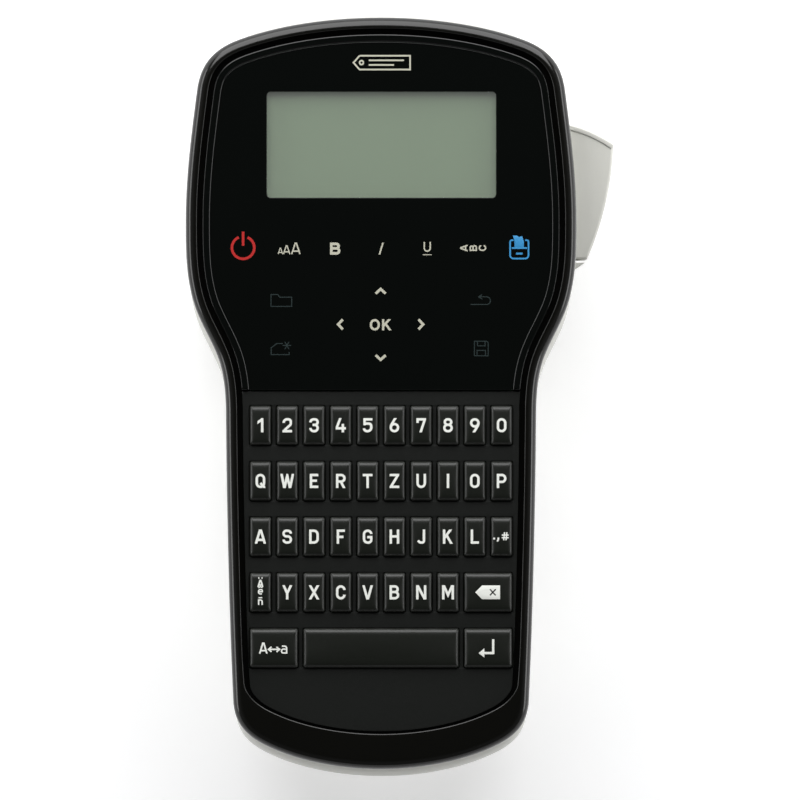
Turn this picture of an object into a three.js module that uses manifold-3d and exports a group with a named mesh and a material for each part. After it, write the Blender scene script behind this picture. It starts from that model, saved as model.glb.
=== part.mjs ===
// A handheld label maker lying on its back: keyboard and display face up (+Z), tape exit at +Y, grip at -Y.
// Millimetres. The origin is on the back face, midway along the body and on its centre plane.
import * as THREE from "three";
import { mergeVertices } from "three/addons/utils/BufferGeometryUtils.js";
import Module from "manifold-3d";

const wasm = await Module();
wasm.setup();

// ---- Driving dimensions -------------------------------------------------------------------------
const HALF_LENGTH = 98.3; // front housing, from the middle to either end
const HEAD_HALF = 51.1; // half width of the head at its widest
const GRIP_HALF = 40.6; // half width of the grip below the shoulders
const TAIL_HALF = 38.7; // half width of the grip at the tail corners
const OVERHANG = 2.8; // how far the back shell stands past the front housing at both ends
const SHOULDER_DROP = 3.6; // how much lower the back shell's shoulders sit than the front housing's
const WALL = 2.4;
const GAP = 0.3; // running gap between neighbouring pieces
const FRONT_EDGE = 2.6; // rounding of the front housing's rim
const BACK_EDGE = 5; // rounding of the back shell's rim

const SPLIT_Z = 46; // parting line between the two housings
const RIM_TOP = 60.6;
const PANEL_TOP = 60.3;
const PANEL_SEAT = 59.0; // ledge that carries the front panel
const DECK_TOP = 59.2;
const DECK_SEAT = 57.2; // ledge that carries the key deck
const KEY_TOP = 61.0;
const LEDGE = 1.8; // thickness of both ledges

const SEAM_INSET = 3.0; // outer edge of the groove that runs round the front
const INSERT_INSET = 4.4; // edge of the front panel and of the key deck
const PANEL_LIP = 2.0; // width of the raised lip round the front panel
const CHIN = 5.5; // extra width of the rim below the keys
const CHIN_START_Y = -60; // and where it begins
const PANEL_FOOT_Y = 0.85; // lower edge of the front panel
const DECK_HEAD_Y = 0.55; // upper edge of the key deck

const KEY_PITCH_X = 7.0;
const KEY_PITCH_Y = 14.55;
const KEY_WIDTH = 5.4;
const KEY_LENGTH = 10.3;
const KEY_COLUMNS = 10;
const KEY_ROWS = 5;
const FIRST_ROW_Y = -8.4;
const KEY_BEVEL = 0.5;
const KEY_GAP = 0.22; // between a key and its aperture, all round
const KEY_TRAVEL = 1.0;
const KEY_FLANGE = 0.45; // how far a key's foot reaches under the deck, along Y
const KEY_FOOT = DECK_SEAT - LEDGE + 0.5; // lower face of the keys
const MAT_TOP = KEY_FOOT - KEY_TRAVEL - 0.2;
const MAT_THICK = 1.0;
const BOARD_TOP = MAT_TOP - MAT_THICK - 0.2;
const BOARD_THICK = 1.6;
const DISPLAY = { x: 0.1, y: 64.95, width: 59.9, height: 27.7 }; // the part of the display that is seen

const GRIP_BACK_Z = 16; // back face of the grip
const HEAD_BACK_END_Y = -14; // the flat back of the head ends here
const GRIP_BACK_START_Y = -42; // and the flat back of the grip starts here

const BAY = { x0: -41, x1: 37, y0: 12, y1: 87, ceiling: 26 }; // cassette bay, open at the back
const BAY_WALL = 1.6;
const DOOR = { x0: -42, x1: 38, y0: 11, y1: 88, radius: 11, thick: 2.4 };
const BARREL_R = 1.2; // hinge barrel along the door's -X edge
const HINGE = {
  x: DOOR.x0 + BARREL_R,
  z: BARREL_R,
  y0: DOOR.y0 + DOOR.radius + 3,
  y1: DOOR.y1 - DOOR.radius - 3,
};
const PIN = { r: 0.6, hole: 0.8, length: 2.2 }; // hinge pins, and the holes that they turn in
const PIN_BLOCK = 1.6; // how far past the hinge axis the housing reaches round each pin
const PIN_RELIEF = 2.4; // how far from the axis the door is cut back beside the pins
const COVER = { half: 30, y1: -44, top: 27 }; // battery cover, open towards the tail
const TONGUE = { reach: 1.6, y0: -78, y1: -54, z: GRIP_BACK_Z + WALL + GAP, thick: 1.2 }; // guides the cover
const BATTERY = { half: 27.5, y0: -89.5, y1: -45.5, z0: 19.4, z1: 37 };
const CASSETTE = { x0: -40, x1: 34, y0: 14, y1: 66, z0: 3.6, z1: 23.6, notchX: 19, notchY: 47, wall: 1.4 };
const ROLL = { x: -18, y: 40, r: 19.6, hub: 4.5, z0: 5.6, z1: 19.6 };

const LEVER_PIVOT = { x: 42, y: 38 };
const LEVER_RADIUS = 33; // from the pivot to the lever's curved upper end
const LEVER_Z = [16, 44];
const LEVER_TIP = { x: 61.0, y: 64.9 }; // outer end of the curved thumb edge
const LEVER_HEEL = { x: 47.6, y: 70.5 }; // where the curved edge meets the housing
const LEVER_HUB = 3.1;
const PIVOT_R = 1.9;
const PIVOT_SHOULDER = 3.3;
const FINGER = { x0: 42.7, tipX1: 44.1, armX1: 45.4, armY: [47, 70], tipY0: 60, z: [17.2, 22.4] };
const TAPE_X = 26; // plane that the tape runs in
const BLADE_Y = 83;
const BLADE_Z = [5.4, 22.8];
const BLADE_THICK = 0.8;
const EXIT_Z = [5.8, 21.2]; // the slot that the tape leaves through

const PLATEN = { x: 30.3, y: 60, r: 4 };
const GEAR_MODULE = 0.75;
const PLATEN_TEETH = 18;
const PINION_TEETH = 12;
const GEAR_Z = [28.6, 32.6];
const PINION_X = PLATEN.x - (GEAR_MODULE * (PLATEN_TEETH + PINION_TEETH)) / 2;
const MOTOR = { r: 9, top: 47, shaft: 0.8 };

// ---- Solids -------------------------------------------------------------------------------------
function solid(geometry, matrix = new THREE.Matrix4()) {
  const bare = new THREE.BufferGeometry();
  const source = geometry.index ? geometry.toNonIndexed() : geometry;
  bare.setAttribute("position", source.getAttribute("position").clone());
  bare.applyMatrix4(matrix);
  const merged = mergeVertices(bare, 1e-4);
  return new wasm.Manifold(
    new wasm.Mesh({
      numProp: 3,
      vertProperties: new Float32Array(merged.attributes.position.array),
      triVerts: new Uint32Array(merged.index.array),
    }),
  );
}

function mesh(name, body, color, roughness = 0.5, metalness = 0) {
  const { numProp, vertProperties, triVerts } = body.getMesh();
  const positions = new Float32Array((vertProperties.length / numProp) * 3);
  for (let i = 0; i * numProp < vertProperties.length; i++)
    for (let k = 0; k < 3; k++) positions[i * 3 + k] = vertProperties[i * numProp + k];
  const geometry = new THREE.BufferGeometry();
  geometry.setAttribute("position", new THREE.BufferAttribute(positions, 3));
  geometry.setIndex(new THREE.BufferAttribute(new Uint32Array(triVerts), 1));
  geometry.computeVertexNormals();
  const made = new THREE.Mesh(geometry, new THREE.MeshStandardMaterial({ color, roughness, metalness }));
  made.name = name;
  return made;
}

// A flat plate of the shape from z0 to z1, with both rims rounded by bevel.
function slab(shape, z0, z1, bevel = 0, segments = 2) {
  const options = { depth: z1 - z0 - 2 * bevel, bevelEnabled: bevel > 0, steps: 1, curveSegments: 6 };
  if (bevel > 0)
    Object.assign(options, {
      bevelThickness: bevel,
      bevelSize: bevel,
      bevelOffset: -bevel,
      bevelSegments: segments,
    });
  const place = new THREE.Matrix4().makeTranslation(0, 0, z0 + bevel);
  return solid(new THREE.ExtrudeGeometry(shape, options), place);
}

function bar(x0, x1, y0, y1, z0, z1) {
  const place = new THREE.Matrix4().makeTranslation((x0 + x1) / 2, (y0 + y1) / 2, (z0 + z1) / 2);
  return solid(new THREE.BoxGeometry(x1 - x0, y1 - y0, z1 - z0), place);
}

function rod(x, y, radius, z0, z1, sides = 16) {
  const upright = new THREE.Matrix4().makeRotationX(Math.PI / 2);
  const place = new THREE.Matrix4().makeTranslation(x, y, (z0 + z1) / 2);
  return solid(new THREE.CylinderGeometry(radius, radius, z1 - z0, sides), place.multiply(upright));
}

// A rod along Y.
function spindle(x, z, radius, y0, y1, sides = 12) {
  const place = new THREE.Matrix4().makeTranslation(x, (y0 + y1) / 2, z);
  return solid(new THREE.CylinderGeometry(radius, radius, y1 - y0, sides), place);
}

const join = (...bodies) => bodies.reduce((a, b) => a.add(b));
const cut = (body, ...tools) => tools.reduce((a, b) => a.subtract(b), body);
const BIG = 130;
const above = (y) => bar(-BIG, BIG, y, BIG, -BIG, BIG);
const below = (y) => bar(-BIG, BIG, -BIG, y, -BIG, BIG);

// ---- Outlines -----------------------------------------------------------------------------------
// The right-hand edge seen from the front, from the crown down to the tail.
// drop lowers the shoulders, and tail lowers the tail.
function rightEdge(drop, tail) {
  const path = new THREE.Path();
  path.moveTo(0, HALF_LENGTH);
  path.bezierCurveTo(14, HALF_LENGTH, 27, 96.2, 37, 92.6);
  path.bezierCurveTo(44.5, 89.9, 47.4, 85.5, 48.2, 79);
  path.bezierCurveTo(49.6, 68, HEAD_HALF, 57, HEAD_HALF, 45);
  path.bezierCurveTo(HEAD_HALF, 36.5 - drop, 51.0, 31 - drop, 49.2, 24.4 - drop);
  path.bezierCurveTo(47.6, 18.6 - drop, 44.2, 13.9 - drop, 42.4, 8.7 - drop);
  path.bezierCurveTo(41, 4.6 - drop, 40.7, -drop, GRIP_HALF, -4 - drop);
  path.bezierCurveTo(40.4, -29 - drop, 39.8, -56 - tail, TAIL_HALF, -80 - tail);
  path.bezierCurveTo(38.5, -86 - tail, 35.6, -89.2 - tail, 31.1, -91.6 - tail);
  path.bezierCurveTo(22, -96.4 - tail, 10, -HALF_LENGTH - tail, 0, -HALF_LENGTH - tail);
  return path;
}

// The whole outline moved inwards by inset and up by lift.
function outline(inset = 0, { drop = 0, tail = 0, lift = 0 } = {}) {
  const edge = rightEdge(drop, tail).getPoints(5);
  const moved = edge.map((p, i) => {
    const before = edge[Math.max(i - 1, 0)];
    const after = edge[Math.min(i + 1, edge.length - 1)];
    const along = new THREE.Vector2().subVectors(after, before).normalize();
    const onAxis = i === 0 || i === edge.length - 1;
    const inwards = onAxis ? new THREE.Vector2(0, i === 0 ? -1 : 1) : new THREE.Vector2(along.y, -along.x);
    return new THREE.Vector2(p.x + inwards.x * inset, p.y + inwards.y * inset + lift);
  });
  const left = moved.slice(1, -1).map((p) => new THREE.Vector2(-p.x, p.y));
  return new THREE.Shape([...moved, ...left.reverse()]);
}

const BACK_SHAPE = { drop: SHOULDER_DROP, tail: OVERHANG };

// The seat of the front panel and key deck: the outline moved inwards, and further in at the chin only.
function seat(inset, z0, z1, bevel = 0) {
  const level = slab(outline(inset), z0, z1, bevel, 1);
  const raised = slab(outline(inset, { lift: CHIN }), z0, z1, bevel, 1);
  return level.intersect(join(raised, above(CHIN_START_Y)));
}

function roundedRect(x0, x1, y0, y1, radius) {
  const shape = new THREE.Shape();
  shape.moveTo(x0 + radius, y0);
  shape.lineTo(x1 - radius, y0);
  shape.absarc(x1 - radius, y0 + radius, radius, -Math.PI / 2, 0);
  shape.lineTo(x1, y1 - radius);
  shape.absarc(x1 - radius, y1 - radius, radius, 0, Math.PI / 2);
  shape.lineTo(x0 + radius, y1);
  shape.absarc(x0 + radius, y1 - radius, radius, Math.PI / 2, Math.PI);
  shape.lineTo(x0, y0 + radius);
  shape.absarc(x0 + radius, y0 + radius, radius, Math.PI, 1.5 * Math.PI);
  return shape;
}

function rect(x0, x1, y0, y1) {
  return new THREE.Shape([
    new THREE.Vector2(x0, y0),
    new THREE.Vector2(x1, y0),
    new THREE.Vector2(x1, y1),
    new THREE.Vector2(x0, y1),
  ]);
}

// Everything in front of the back surface, seen from the side and moved in by inset.
function besideBack(inset) {
  const shape = new THREE.Shape();
  const bend = (GRIP_BACK_START_Y - HEAD_BACK_END_Y) / 2;
  const grip = GRIP_BACK_Z + inset;
  shape.moveTo(HALF_LENGTH + 10, SPLIT_Z + 20);
  shape.lineTo(HALF_LENGTH + 10, 14);
  shape.lineTo(HALF_LENGTH + 3 - inset, 14);
  shape.bezierCurveTo(HALF_LENGTH + 3 - inset, 6 + inset, 94, inset, 88, inset);
  shape.lineTo(HEAD_BACK_END_Y, inset);
  shape.bezierCurveTo(
    HEAD_BACK_END_Y + bend, inset,
    GRIP_BACK_START_Y - bend, grip,
    GRIP_BACK_START_Y, grip,
  );
  shape.lineTo(-88, grip);
  shape.bezierCurveTo(-94, grip, -98 + inset, 19 + inset, -100.6 + inset, 30);
  shape.lineTo(-HALF_LENGTH - 10, 30);
  shape.lineTo(-HALF_LENGTH - 10, SPLIT_Z + 20);
  const sideways = new THREE.Matrix4().makeBasis(
    new THREE.Vector3(0, 1, 0),
    new THREE.Vector3(0, 0, 1),
    new THREE.Vector3(1, 0, 0),
  );
  sideways.setPosition(-BIG / 2, 0, 0);
  const options = { depth: BIG, bevelEnabled: false, curveSegments: 7 };
  return solid(new THREE.ExtrudeGeometry(shape, options), sideways);
}

// ---- Keys ---------------------------------------------------------------------------------------
// Each key: name, first column, how many columns it covers, row.
function keyTable() {
  const keys = [];
  const rowOf = (names, row, first = 0) =>
    names.forEach((name, i) => keys.push({ name: `key_${name}`, column: first + i, span: 1, row }));
  rowOf([..."1234567890"], 0);
  rowOf([..."QWERTZUIOP"], 1);
  rowOf([..."ASDFGHJKL", "symbol"], 2);
  rowOf(["accent", ..."YXCVBNM"], 3);
  keys.push({ name: "key_backspace", column: 8, span: 2, row: 3 });
  keys.push({ name: "key_caps", column: 0, span: 2, row: 4 });
  keys.push({ name: "key_space", column: 2, span: 6, row: 4 });
  keys.push({ name: "key_return", column: 8, span: 2, row: 4 });
  return keys.map((key) => {
    const centre = (key.column + (key.span - 1) / 2 - (KEY_COLUMNS - 1) / 2) * KEY_PITCH_X;
    const width = KEY_WIDTH + (key.span - 1) * KEY_PITCH_X;
    const y = FIRST_ROW_Y - key.row * KEY_PITCH_Y;
    const edges = { x0: centre - width / 2, x1: centre + width / 2 };
    return { ...key, ...edges, y0: y - KEY_LENGTH / 2, y1: y + KEY_LENGTH / 2 };
  });
}

function keycap({ name, x0, x1, y0, y1 }) {
  const cap = slab(rect(x0, x1, y0, y1), KEY_FOOT, KEY_TOP, KEY_BEVEL, 1);
  const flange = bar(x0 + 0.1, x1 - 0.1, y0 - KEY_FLANGE, y1 + KEY_FLANGE, KEY_FOOT, KEY_FOOT + 1);
  return mesh(name, join(cap, flange), 0x151613, 0.35);
}

// ---- Front --------------------------------------------------------------------------------------
function displayBlock(margin, z0, z1) {
  const { x, y, width, height } = DISPLAY;
  const halfWidth = width / 2 + margin;
  const halfHeight = height / 2 + margin;
  return bar(x - halfWidth, x + halfWidth, y - halfHeight, y + halfHeight, z0, z1);
}

function frontHousing() {
  const panelUnder = PANEL_SEAT - LEDGE;
  const deckUnder = DECK_SEAT - LEDGE;
  const keysEndY = FIRST_ROW_Y - (KEY_ROWS - 1) * KEY_PITCH_Y - KEY_LENGTH / 2 - 2;
  const keysStartY = FIRST_ROW_Y + KEY_LENGTH / 2 + 1.65;
  const block = slab(outline(), SPLIT_Z - 8, RIM_TOP, FRONT_EDGE, 3);
  const outer = cut(block, bar(-BIG, BIG, -BIG, BIG, 0, SPLIT_Z));
  const headCavity = slab(outline(WALL), SPLIT_Z - 1, panelUnder).intersect(above(PANEL_FOOT_Y));
  const gripCavity = slab(outline(WALL), SPLIT_Z - 1, deckUnder).intersect(below(PANEL_FOOT_Y + 0.1));
  const panelRecess = seat(SEAM_INSET, PANEL_SEAT, RIM_TOP + 2).intersect(above(DECK_HEAD_Y));
  const deckRecess = seat(SEAM_INSET, DECK_SEAT, RIM_TOP + 2).intersect(below(DECK_HEAD_Y + 0.15));
  const keyOpening = seat(INSERT_INSET + 0.1, deckUnder - 1, DECK_SEAT + 1)
    .intersect(above(keysEndY))
    .intersect(below(keysStartY));
  const displayOpening = displayBlock(1.3, panelUnder - 1, PANEL_SEAT + 1);
  const cavities = [headCavity, gripCavity, panelRecess, deckRecess];
  return mesh("front_housing", cut(outer, ...cavities, keyOpening, displayOpening), 0x121311, 0.18);
}

function frontPanel() {
  const plate = seat(INSERT_INSET, PANEL_SEAT + 0.1, PANEL_TOP, 0.4).intersect(above(PANEL_FOOT_Y));
  const sunk = slab(outline(INSERT_INSET + PANEL_LIP), PANEL_TOP - 0.3, PANEL_TOP + 1);
  return mesh("front_panel", cut(plate, sunk), 0x0b0c0b, 0.06);
}

function keyDeck(keys) {
  const plate = seat(INSERT_INSET, DECK_SEAT + 0.1, DECK_TOP, 0.3).intersect(below(DECK_HEAD_Y));
  const apertures = keys.map(({ x0, x1, y0, y1 }) =>
    bar(x0 - KEY_GAP, x1 + KEY_GAP, y0 - KEY_GAP, y1 + KEY_GAP, DECK_SEAT - 1, DECK_TOP + 1),
  );
  return mesh("key_deck", cut(plate, ...apertures), 0x141513, 0.3);
}

function keyMat() {
  const sheet = seat(INSERT_INSET + 0.8, MAT_TOP - MAT_THICK, MAT_TOP).intersect(below(-1.9));
  return mesh("key_mat", sheet, 0x4a4a48, 0.8);
}

function mainBoard() {
  const board = slab(outline(6), BOARD_TOP - BOARD_THICK, BOARD_TOP).intersect(above(-84));
  return mesh("main_board", board, 0x1f5a33, 0.5);
}

function displayModule() {
  const frame = displayBlock(3.5, BOARD_TOP + 0.2, PANEL_SEAT - LEDGE - GAP);
  const glass = displayBlock(0.8, PANEL_SEAT - LEDGE - 1, PANEL_SEAT - 0.5);
  return mesh("display_module", join(frame, glass), 0x7d8f76, 0.3);
}

// ---- Back ---------------------------------------------------------------------------------------
const insideBack = (margin) => slab(outline(margin, BACK_SHAPE), 0, BIG / 2);

function doorShape(margin) {
  return roundedRect(DOOR.x0 - margin, DOOR.x1 + margin, DOOR.y0 - margin, DOOR.y1 + margin, DOOR.radius);
}

// Boxes beyond both ends of the hinge barrel, as far across as reach from its axis.
function beyondHinge(reach, gap) {
  const across = HINGE.x + reach;
  return [
    bar(-BIG, across, -BIG, HINGE.y0 - gap, -BIG, BIG),
    bar(-BIG, across, HINGE.y1 + gap, BIG, -BIG, BIG),
  ];
}

function backOuter() {
  const shell = cut(
    slab(outline(0.3, BACK_SHAPE), 0, SPLIT_Z + 10, BACK_EDGE, 3),
    bar(-BIG, BIG, -BIG, BIG, SPLIT_Z - 0.2, BIG),
  );
  // The crown band stands past the front housing over the tape exit.
  const band = slab(outline(0.3 - OVERHANG, BACK_SHAPE), 14, SPLIT_Z - 2.2, 0.6, 1)
    .intersect(bar(-36.8, 36.8, 80, BIG, 0, BIG));
  // A small fairing closes the step below the cutter lever.
  const fairing = new THREE.Shape([
    new THREE.Vector2(48, 34.6),
    new THREE.Vector2(54, 34.6),
    new THREE.Vector2(50.6, 32.2),
    new THREE.Vector2(48, 31),
  ]);
  return join(shell, band, slab(fairing, LEVER_Z[0], LEVER_Z[1])).intersect(besideBack(0));
}

function leverWell() {
  const { x, y } = LEVER_PIVOT;
  const swept = rod(x, y, LEVER_RADIUS + 0.6, LEVER_Z[0] - 0.5, LEVER_Z[1] + 0.5, 72);
  return swept.intersect(bar(BAY.x1 + BAY_WALL, BIG, y - LEVER_HUB - 0.5, BIG, 0, BIG));
}

// The post that the cutter lever turns on, with a shoulder under the lever.
function leverPost() {
  const { x, y } = LEVER_PIVOT;
  return join(
    rod(x, y, PIVOT_SHOULDER, 1.5, LEVER_Z[0] - GAP),
    rod(x, y, PIVOT_R, 1.5, LEVER_Z[1] + 1.2),
  );
}

// Walls of the cassette bay and of the battery box, before they are hollowed.
function bayWalls() {
  const cassetteBox = bar(
    BAY.x0 - BAY_WALL, BAY.x1 + BAY_WALL,
    BAY.y0 - BAY_WALL, BAY.y1 + BAY_WALL,
    1, BAY.ceiling + BAY_WALL,
  );
  const batteryBox = bar(
    -BATTERY.half - WALL, BATTERY.half + WALL,
    -HALF_LENGTH, BATTERY.y1 + WALL,
    GRIP_BACK_Z + 1, BATTERY.z1 + 2,
  );
  return join(cassetteBox, batteryBox).intersect(insideBack(WALL));
}

function backHousing() {
  const outer = backOuter();
  const cavity = insideBack(WALL + 0.3).intersect(besideBack(WALL));
  const body = join(cut(outer, cavity), bayWalls().intersect(outer));

  const bay = bar(BAY.x0, BAY.x1, BAY.y0, BAY.y1, DOOR.thick, BAY.ceiling).intersect(insideBack(WALL + 0.6));
  const batteryBay = bar(
    -BATTERY.half - 0.8, BATTERY.half + 0.8,
    -BIG, BATTERY.y1 + 0.8,
    GRIP_BACK_Z + WALL, BATTERY.z1 + 0.5,
  ).intersect(cavity);
  const doorway = cut(slab(doorShape(GAP), -1, DOOR.thick + GAP), ...beyondHinge(PIN_BLOCK, 0.4));
  const holeReach = PIN.length + 0.4;
  const pinHoles = spindle(HINGE.x, HINGE.z, PIN.hole, HINGE.y0 - holeReach, HINGE.y1 + holeReach);
  const coverway = bar(-COVER.half - 0.25, COVER.half + 0.25, -BIG, COVER.y1 + 0.25, 0, COVER.top + 0.25);
  const tongueHalf = COVER.half + TONGUE.reach + 0.4;
  const floor = GRIP_BACK_Z + WALL;
  const tongueway = bar(-tongueHalf, tongueHalf, -BIG, TONGUE.y1 + 2, floor, floor + 2);

  // Openings in the wall between the cassette bay and the lever.
  const bayWallX = [BAY.x1 - 1, BAY.x1 + BAY_WALL + 1];
  const windowTop = BAY.y1 - 0.2;
  const bladeWindow = bar(...bayWallX, BLADE_Y - 3.8, windowTop, BLADE_Z[0] - 0.8, BLADE_Z[1] + 1.8);
  const fingerWindow = bar(...bayWallX, 53, windowTop, FINGER.z[0] - 0.6, FINGER.z[1] + 0.6);
  const shaftHole = rod(PLATEN.x, PLATEN.y, 2, BAY.ceiling - 1, BAY.ceiling + 3);
  const tapeExit = bar(TAPE_X - 1.6, TAPE_X + 1.6, BAY.y1 - 1, BIG, ...EXIT_Z);
  const anvil = bar(19, TAPE_X - 2.2, BLADE_Y - 3.5, BAY.y1, 4, BAY.ceiling + 1);

  const covers = [bay, batteryBay, doorway, pinHoles, coverway, tongueway];
  const cleared = cut(body, ...covers, bladeWindow, fingerWindow, shaftHole, leverWell());
  return mesh("back_housing", cut(join(cleared, anvil, leverPost()), tapeExit), 0xb9bab3, 0.45, 0.1);
}

function cassetteDoor() {
  const whole = slab(doorShape(0), 0, DOOR.thick, 0.4, 1);
  const pastHinge = bar(HINGE.x, BIG, -BIG, BIG, -1, 10);
  const plate = cut(whole.intersect(pastHinge), ...beyondHinge(PIN_RELIEF, 0));
  const barrel = spindle(HINGE.x, HINGE.z, BARREL_R, HINGE.y0, HINGE.y1);
  const pins = spindle(HINGE.x, HINGE.z, PIN.r, HINGE.y0 - PIN.length, HINGE.y1 + PIN.length);
  const latch = bar(34.4, 36, 44, 55, DOOR.thick - 0.5, DOOR.thick + 5);
  const thumbGrip = [0, 1, 2, 3].map((i) => bar(27 + i * 2, 28 + i * 2, 42, 57, -1, 0.5));
  return mesh("cassette_door", cut(join(plate, barrel, pins, latch), ...thumbGrip), 0xb4b5ae, 0.5, 0.1);
}

function batteryCover() {
  const region = bar(-COVER.half, COVER.half, -BIG, COVER.y1, 0, COVER.top);
  const wall = cut(backOuter(), insideBack(WALL + 0.3).intersect(besideBack(WALL))).intersect(region);
  const reach = COVER.half + TONGUE.reach;
  const besideCells = bar(-BATTERY.half - 0.7, BATTERY.half + 0.7, -BIG, 0, 0, BIG);
  const tongues = bar(-reach, reach, TONGUE.y0, TONGUE.y1, TONGUE.z, TONGUE.z + TONGUE.thick);
  const webs = bar(-COVER.half, COVER.half, TONGUE.y0, TONGUE.y1, GRIP_BACK_Z + 1, GRIP_BACK_Z + WALL + 1);
  const ribs = [0, 1, 2, 3, 4].map((i) => bar(-11, 11, -66 - i * 2.6, -64.8 - i * 2.6, 0, GRIP_BACK_Z + 0.5));
  const body = join(wall, cut(join(tongues, webs), besideCells));
  return mesh("battery_cover", cut(body, ...ribs), 0xb4b5ae, 0.5, 0.1);
}

function batteryPack() {
  const shape = roundedRect(-BATTERY.half, BATTERY.half, BATTERY.y0, BATTERY.y1, 4);
  return mesh("battery_pack", slab(shape, BATTERY.z0, BATTERY.z1, 1.5, 1), 0x2a2c2b, 0.6);
}

// ---- Cutter -------------------------------------------------------------------------------------
function leverShape() {
  const { x, y } = LEVER_PIVOT;
  const tip = Math.atan2(LEVER_TIP.y - y, LEVER_TIP.x - x);
  const heel = Math.atan2(LEVER_HEEL.y - y, LEVER_HEEL.x - x);
  const tipX = x + LEVER_RADIUS * Math.cos(tip);
  const tipY = y + LEVER_RADIUS * Math.sin(tip);
  const shape = new THREE.Shape();
  shape.moveTo(x, y - LEVER_HUB);
  shape.lineTo(50, 35.2);
  shape.lineTo(54.2, 35.3);
  shape.bezierCurveTo(58.4, 45, 60.7, 55, tipX, tipY);
  shape.absarc(x, y, LEVER_RADIUS, tip, heel);
  shape.lineTo(x - 0.6, y + LEVER_HUB);
  shape.absarc(x, y, LEVER_HUB, Math.PI * 0.6, Math.PI * 1.5);
  return shape;
}

function cutterLever() {
  const { x, y } = LEVER_PIVOT;
  const paddle = slab(leverShape(), ...LEVER_Z, 0.8, 2);
  // The finger reaches through the bay wall and pushes the blade.
  const finger = join(
    bar(FINGER.x0, FINGER.tipX1, FINGER.tipY0, BLADE_Y, ...FINGER.z),
    bar(FINGER.x0, FINGER.armX1, ...FINGER.armY, ...FINGER.z),
  );
  const pivotHole = rod(x, y, PIVOT_R + 0.2, 0, BIG);
  return mesh("cutter_lever", cut(join(paddle, finger), pivotHole), 0xbdbdb5, 0.5, 0.1);
}

function cutterBlade() {
  const [low, high] = BLADE_Z;
  const holder = bar(38, 42.2, BLADE_Y - 3, BLADE_Y + 3, low, high);
  // The cutting edge slopes, so that it shears the tape from one side to the other.
  const edge = new THREE.Shape([
    new THREE.Vector2(39, low),
    new THREE.Vector2(34.6, low),
    new THREE.Vector2(35.6, high),
    new THREE.Vector2(39, high),
  ]);
  const upright = new THREE.Matrix4().makeBasis(
    new THREE.Vector3(1, 0, 0),
    new THREE.Vector3(0, 0, 1),
    new THREE.Vector3(0, -1, 0),
  );
  upright.setPosition(0, BLADE_Y + BLADE_THICK / 2, 0);
  const blade = solid(new THREE.ExtrudeGeometry(edge, { depth: BLADE_THICK, bevelEnabled: false }), upright);
  return mesh("cutter_blade", join(holder, blade), 0x8d9094, 0.25, 0.9);
}

// ---- Tape path and drive ------------------------------------------------------------------------
function tapeCassette() {
  const { x0, x1, y0, y1, z0, z1, notchX, notchY, wall } = CASSETTE;
  const plan = (inset, low, high) =>
    cut(
      slab(roundedRect(x0 + inset, x1 - inset, y0 + inset, y1 - inset, 3), low, high),
      bar(notchX - inset, BIG, notchY - inset, BIG, low - 1, high + 1),
    );
  const spools = [rod(ROLL.x, ROLL.y, 3.4, 0, 10), rod(17, 30, 2.6, 0, 10)];
  return mesh("tape_cassette", cut(plan(0, z0, z1), plan(wall, z0 + wall, z1 + 1), ...spools), 0x22262b, 0.4);
}

function tapeRoll() {
  const { x, y, r, hub, z0, z1 } = ROLL;
  return mesh("tape_roll", cut(rod(x, y, r, z0, z1, 40), rod(x, y, hub, 0, 40)), 0xe9e9e4, 0.6);
}

function printHead() {
  const sink = bar(20.4, 22.8, 50, 66, 4.5, BAY.ceiling - 0.2);
  const head = bar(22, TAPE_X - 0.4, PLATEN.y - 3, PLATEN.y + 3, 5.2, 21.8);
  return mesh("print_head", join(sink, head), 0x8a8d90, 0.35, 0.8);
}

// A spur gear's outline about the origin, turned by phase, with teeth slim enough for running backlash.
function gearShape(teeth, phase) {
  const pitch = (GEAR_MODULE * teeth) / 2;
  const step = (2 * Math.PI) / teeth;
  const outer = pitch + 0.8 * GEAR_MODULE;
  const root = pitch - 1.15 * GEAR_MODULE;
  // Radius and share of a tooth step, from one side of a tooth to the other.
  const flank = [[root, -0.3], [pitch, -0.2], [outer, -0.09], [outer, 0.09], [pitch, 0.2], [root, 0.3]];
  const points = [];
  for (let i = 0; i < teeth; i++)
    for (const [radius, share] of flank) {
      const angle = phase + (i + share) * step;
      points.push(new THREE.Vector2(radius * Math.cos(angle), radius * Math.sin(angle)));
    }
  return new THREE.Shape(points);
}

function gear(x, y, teeth, phase) {
  const options = { depth: GEAR_Z[1] - GEAR_Z[0], bevelEnabled: false };
  const place = new THREE.Matrix4().makeTranslation(x, y, GEAR_Z[0]);
  return solid(new THREE.ExtrudeGeometry(gearShape(teeth, phase), options), place);
}

function platenRoller() {
  const { x, y, r } = PLATEN;
  const body = join(
    rod(x, y, r, 5.4, 21.6, 24),
    rod(x, y, 1.5, 3.6, GEAR_Z[1] + 2),
    gear(x, y, PLATEN_TEETH, Math.PI / PLATEN_TEETH),
  );
  return mesh("platen_roller", body, 0x2b2b2b, 0.7);
}

function drivePinion() {
  const bore = rod(PINION_X, PLATEN.y, MOTOR.shaft + 0.3, 0, 50);
  return mesh("drive_pinion", cut(gear(PINION_X, PLATEN.y, PINION_TEETH, 0), bore), 0xd8d4c4, 0.5);
}

function driveMotor() {
  const can = rod(PINION_X, PLATEN.y, MOTOR.r, GEAR_Z[1] + 0.8, MOTOR.top, 28);
  const shaft = rod(PINION_X, PLATEN.y, MOTOR.shaft, GEAR_Z[0], GEAR_Z[1] + 2, 10);
  return mesh("drive_motor", join(can, shaft), 0x9a9ca0, 0.3, 0.8);
}

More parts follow.
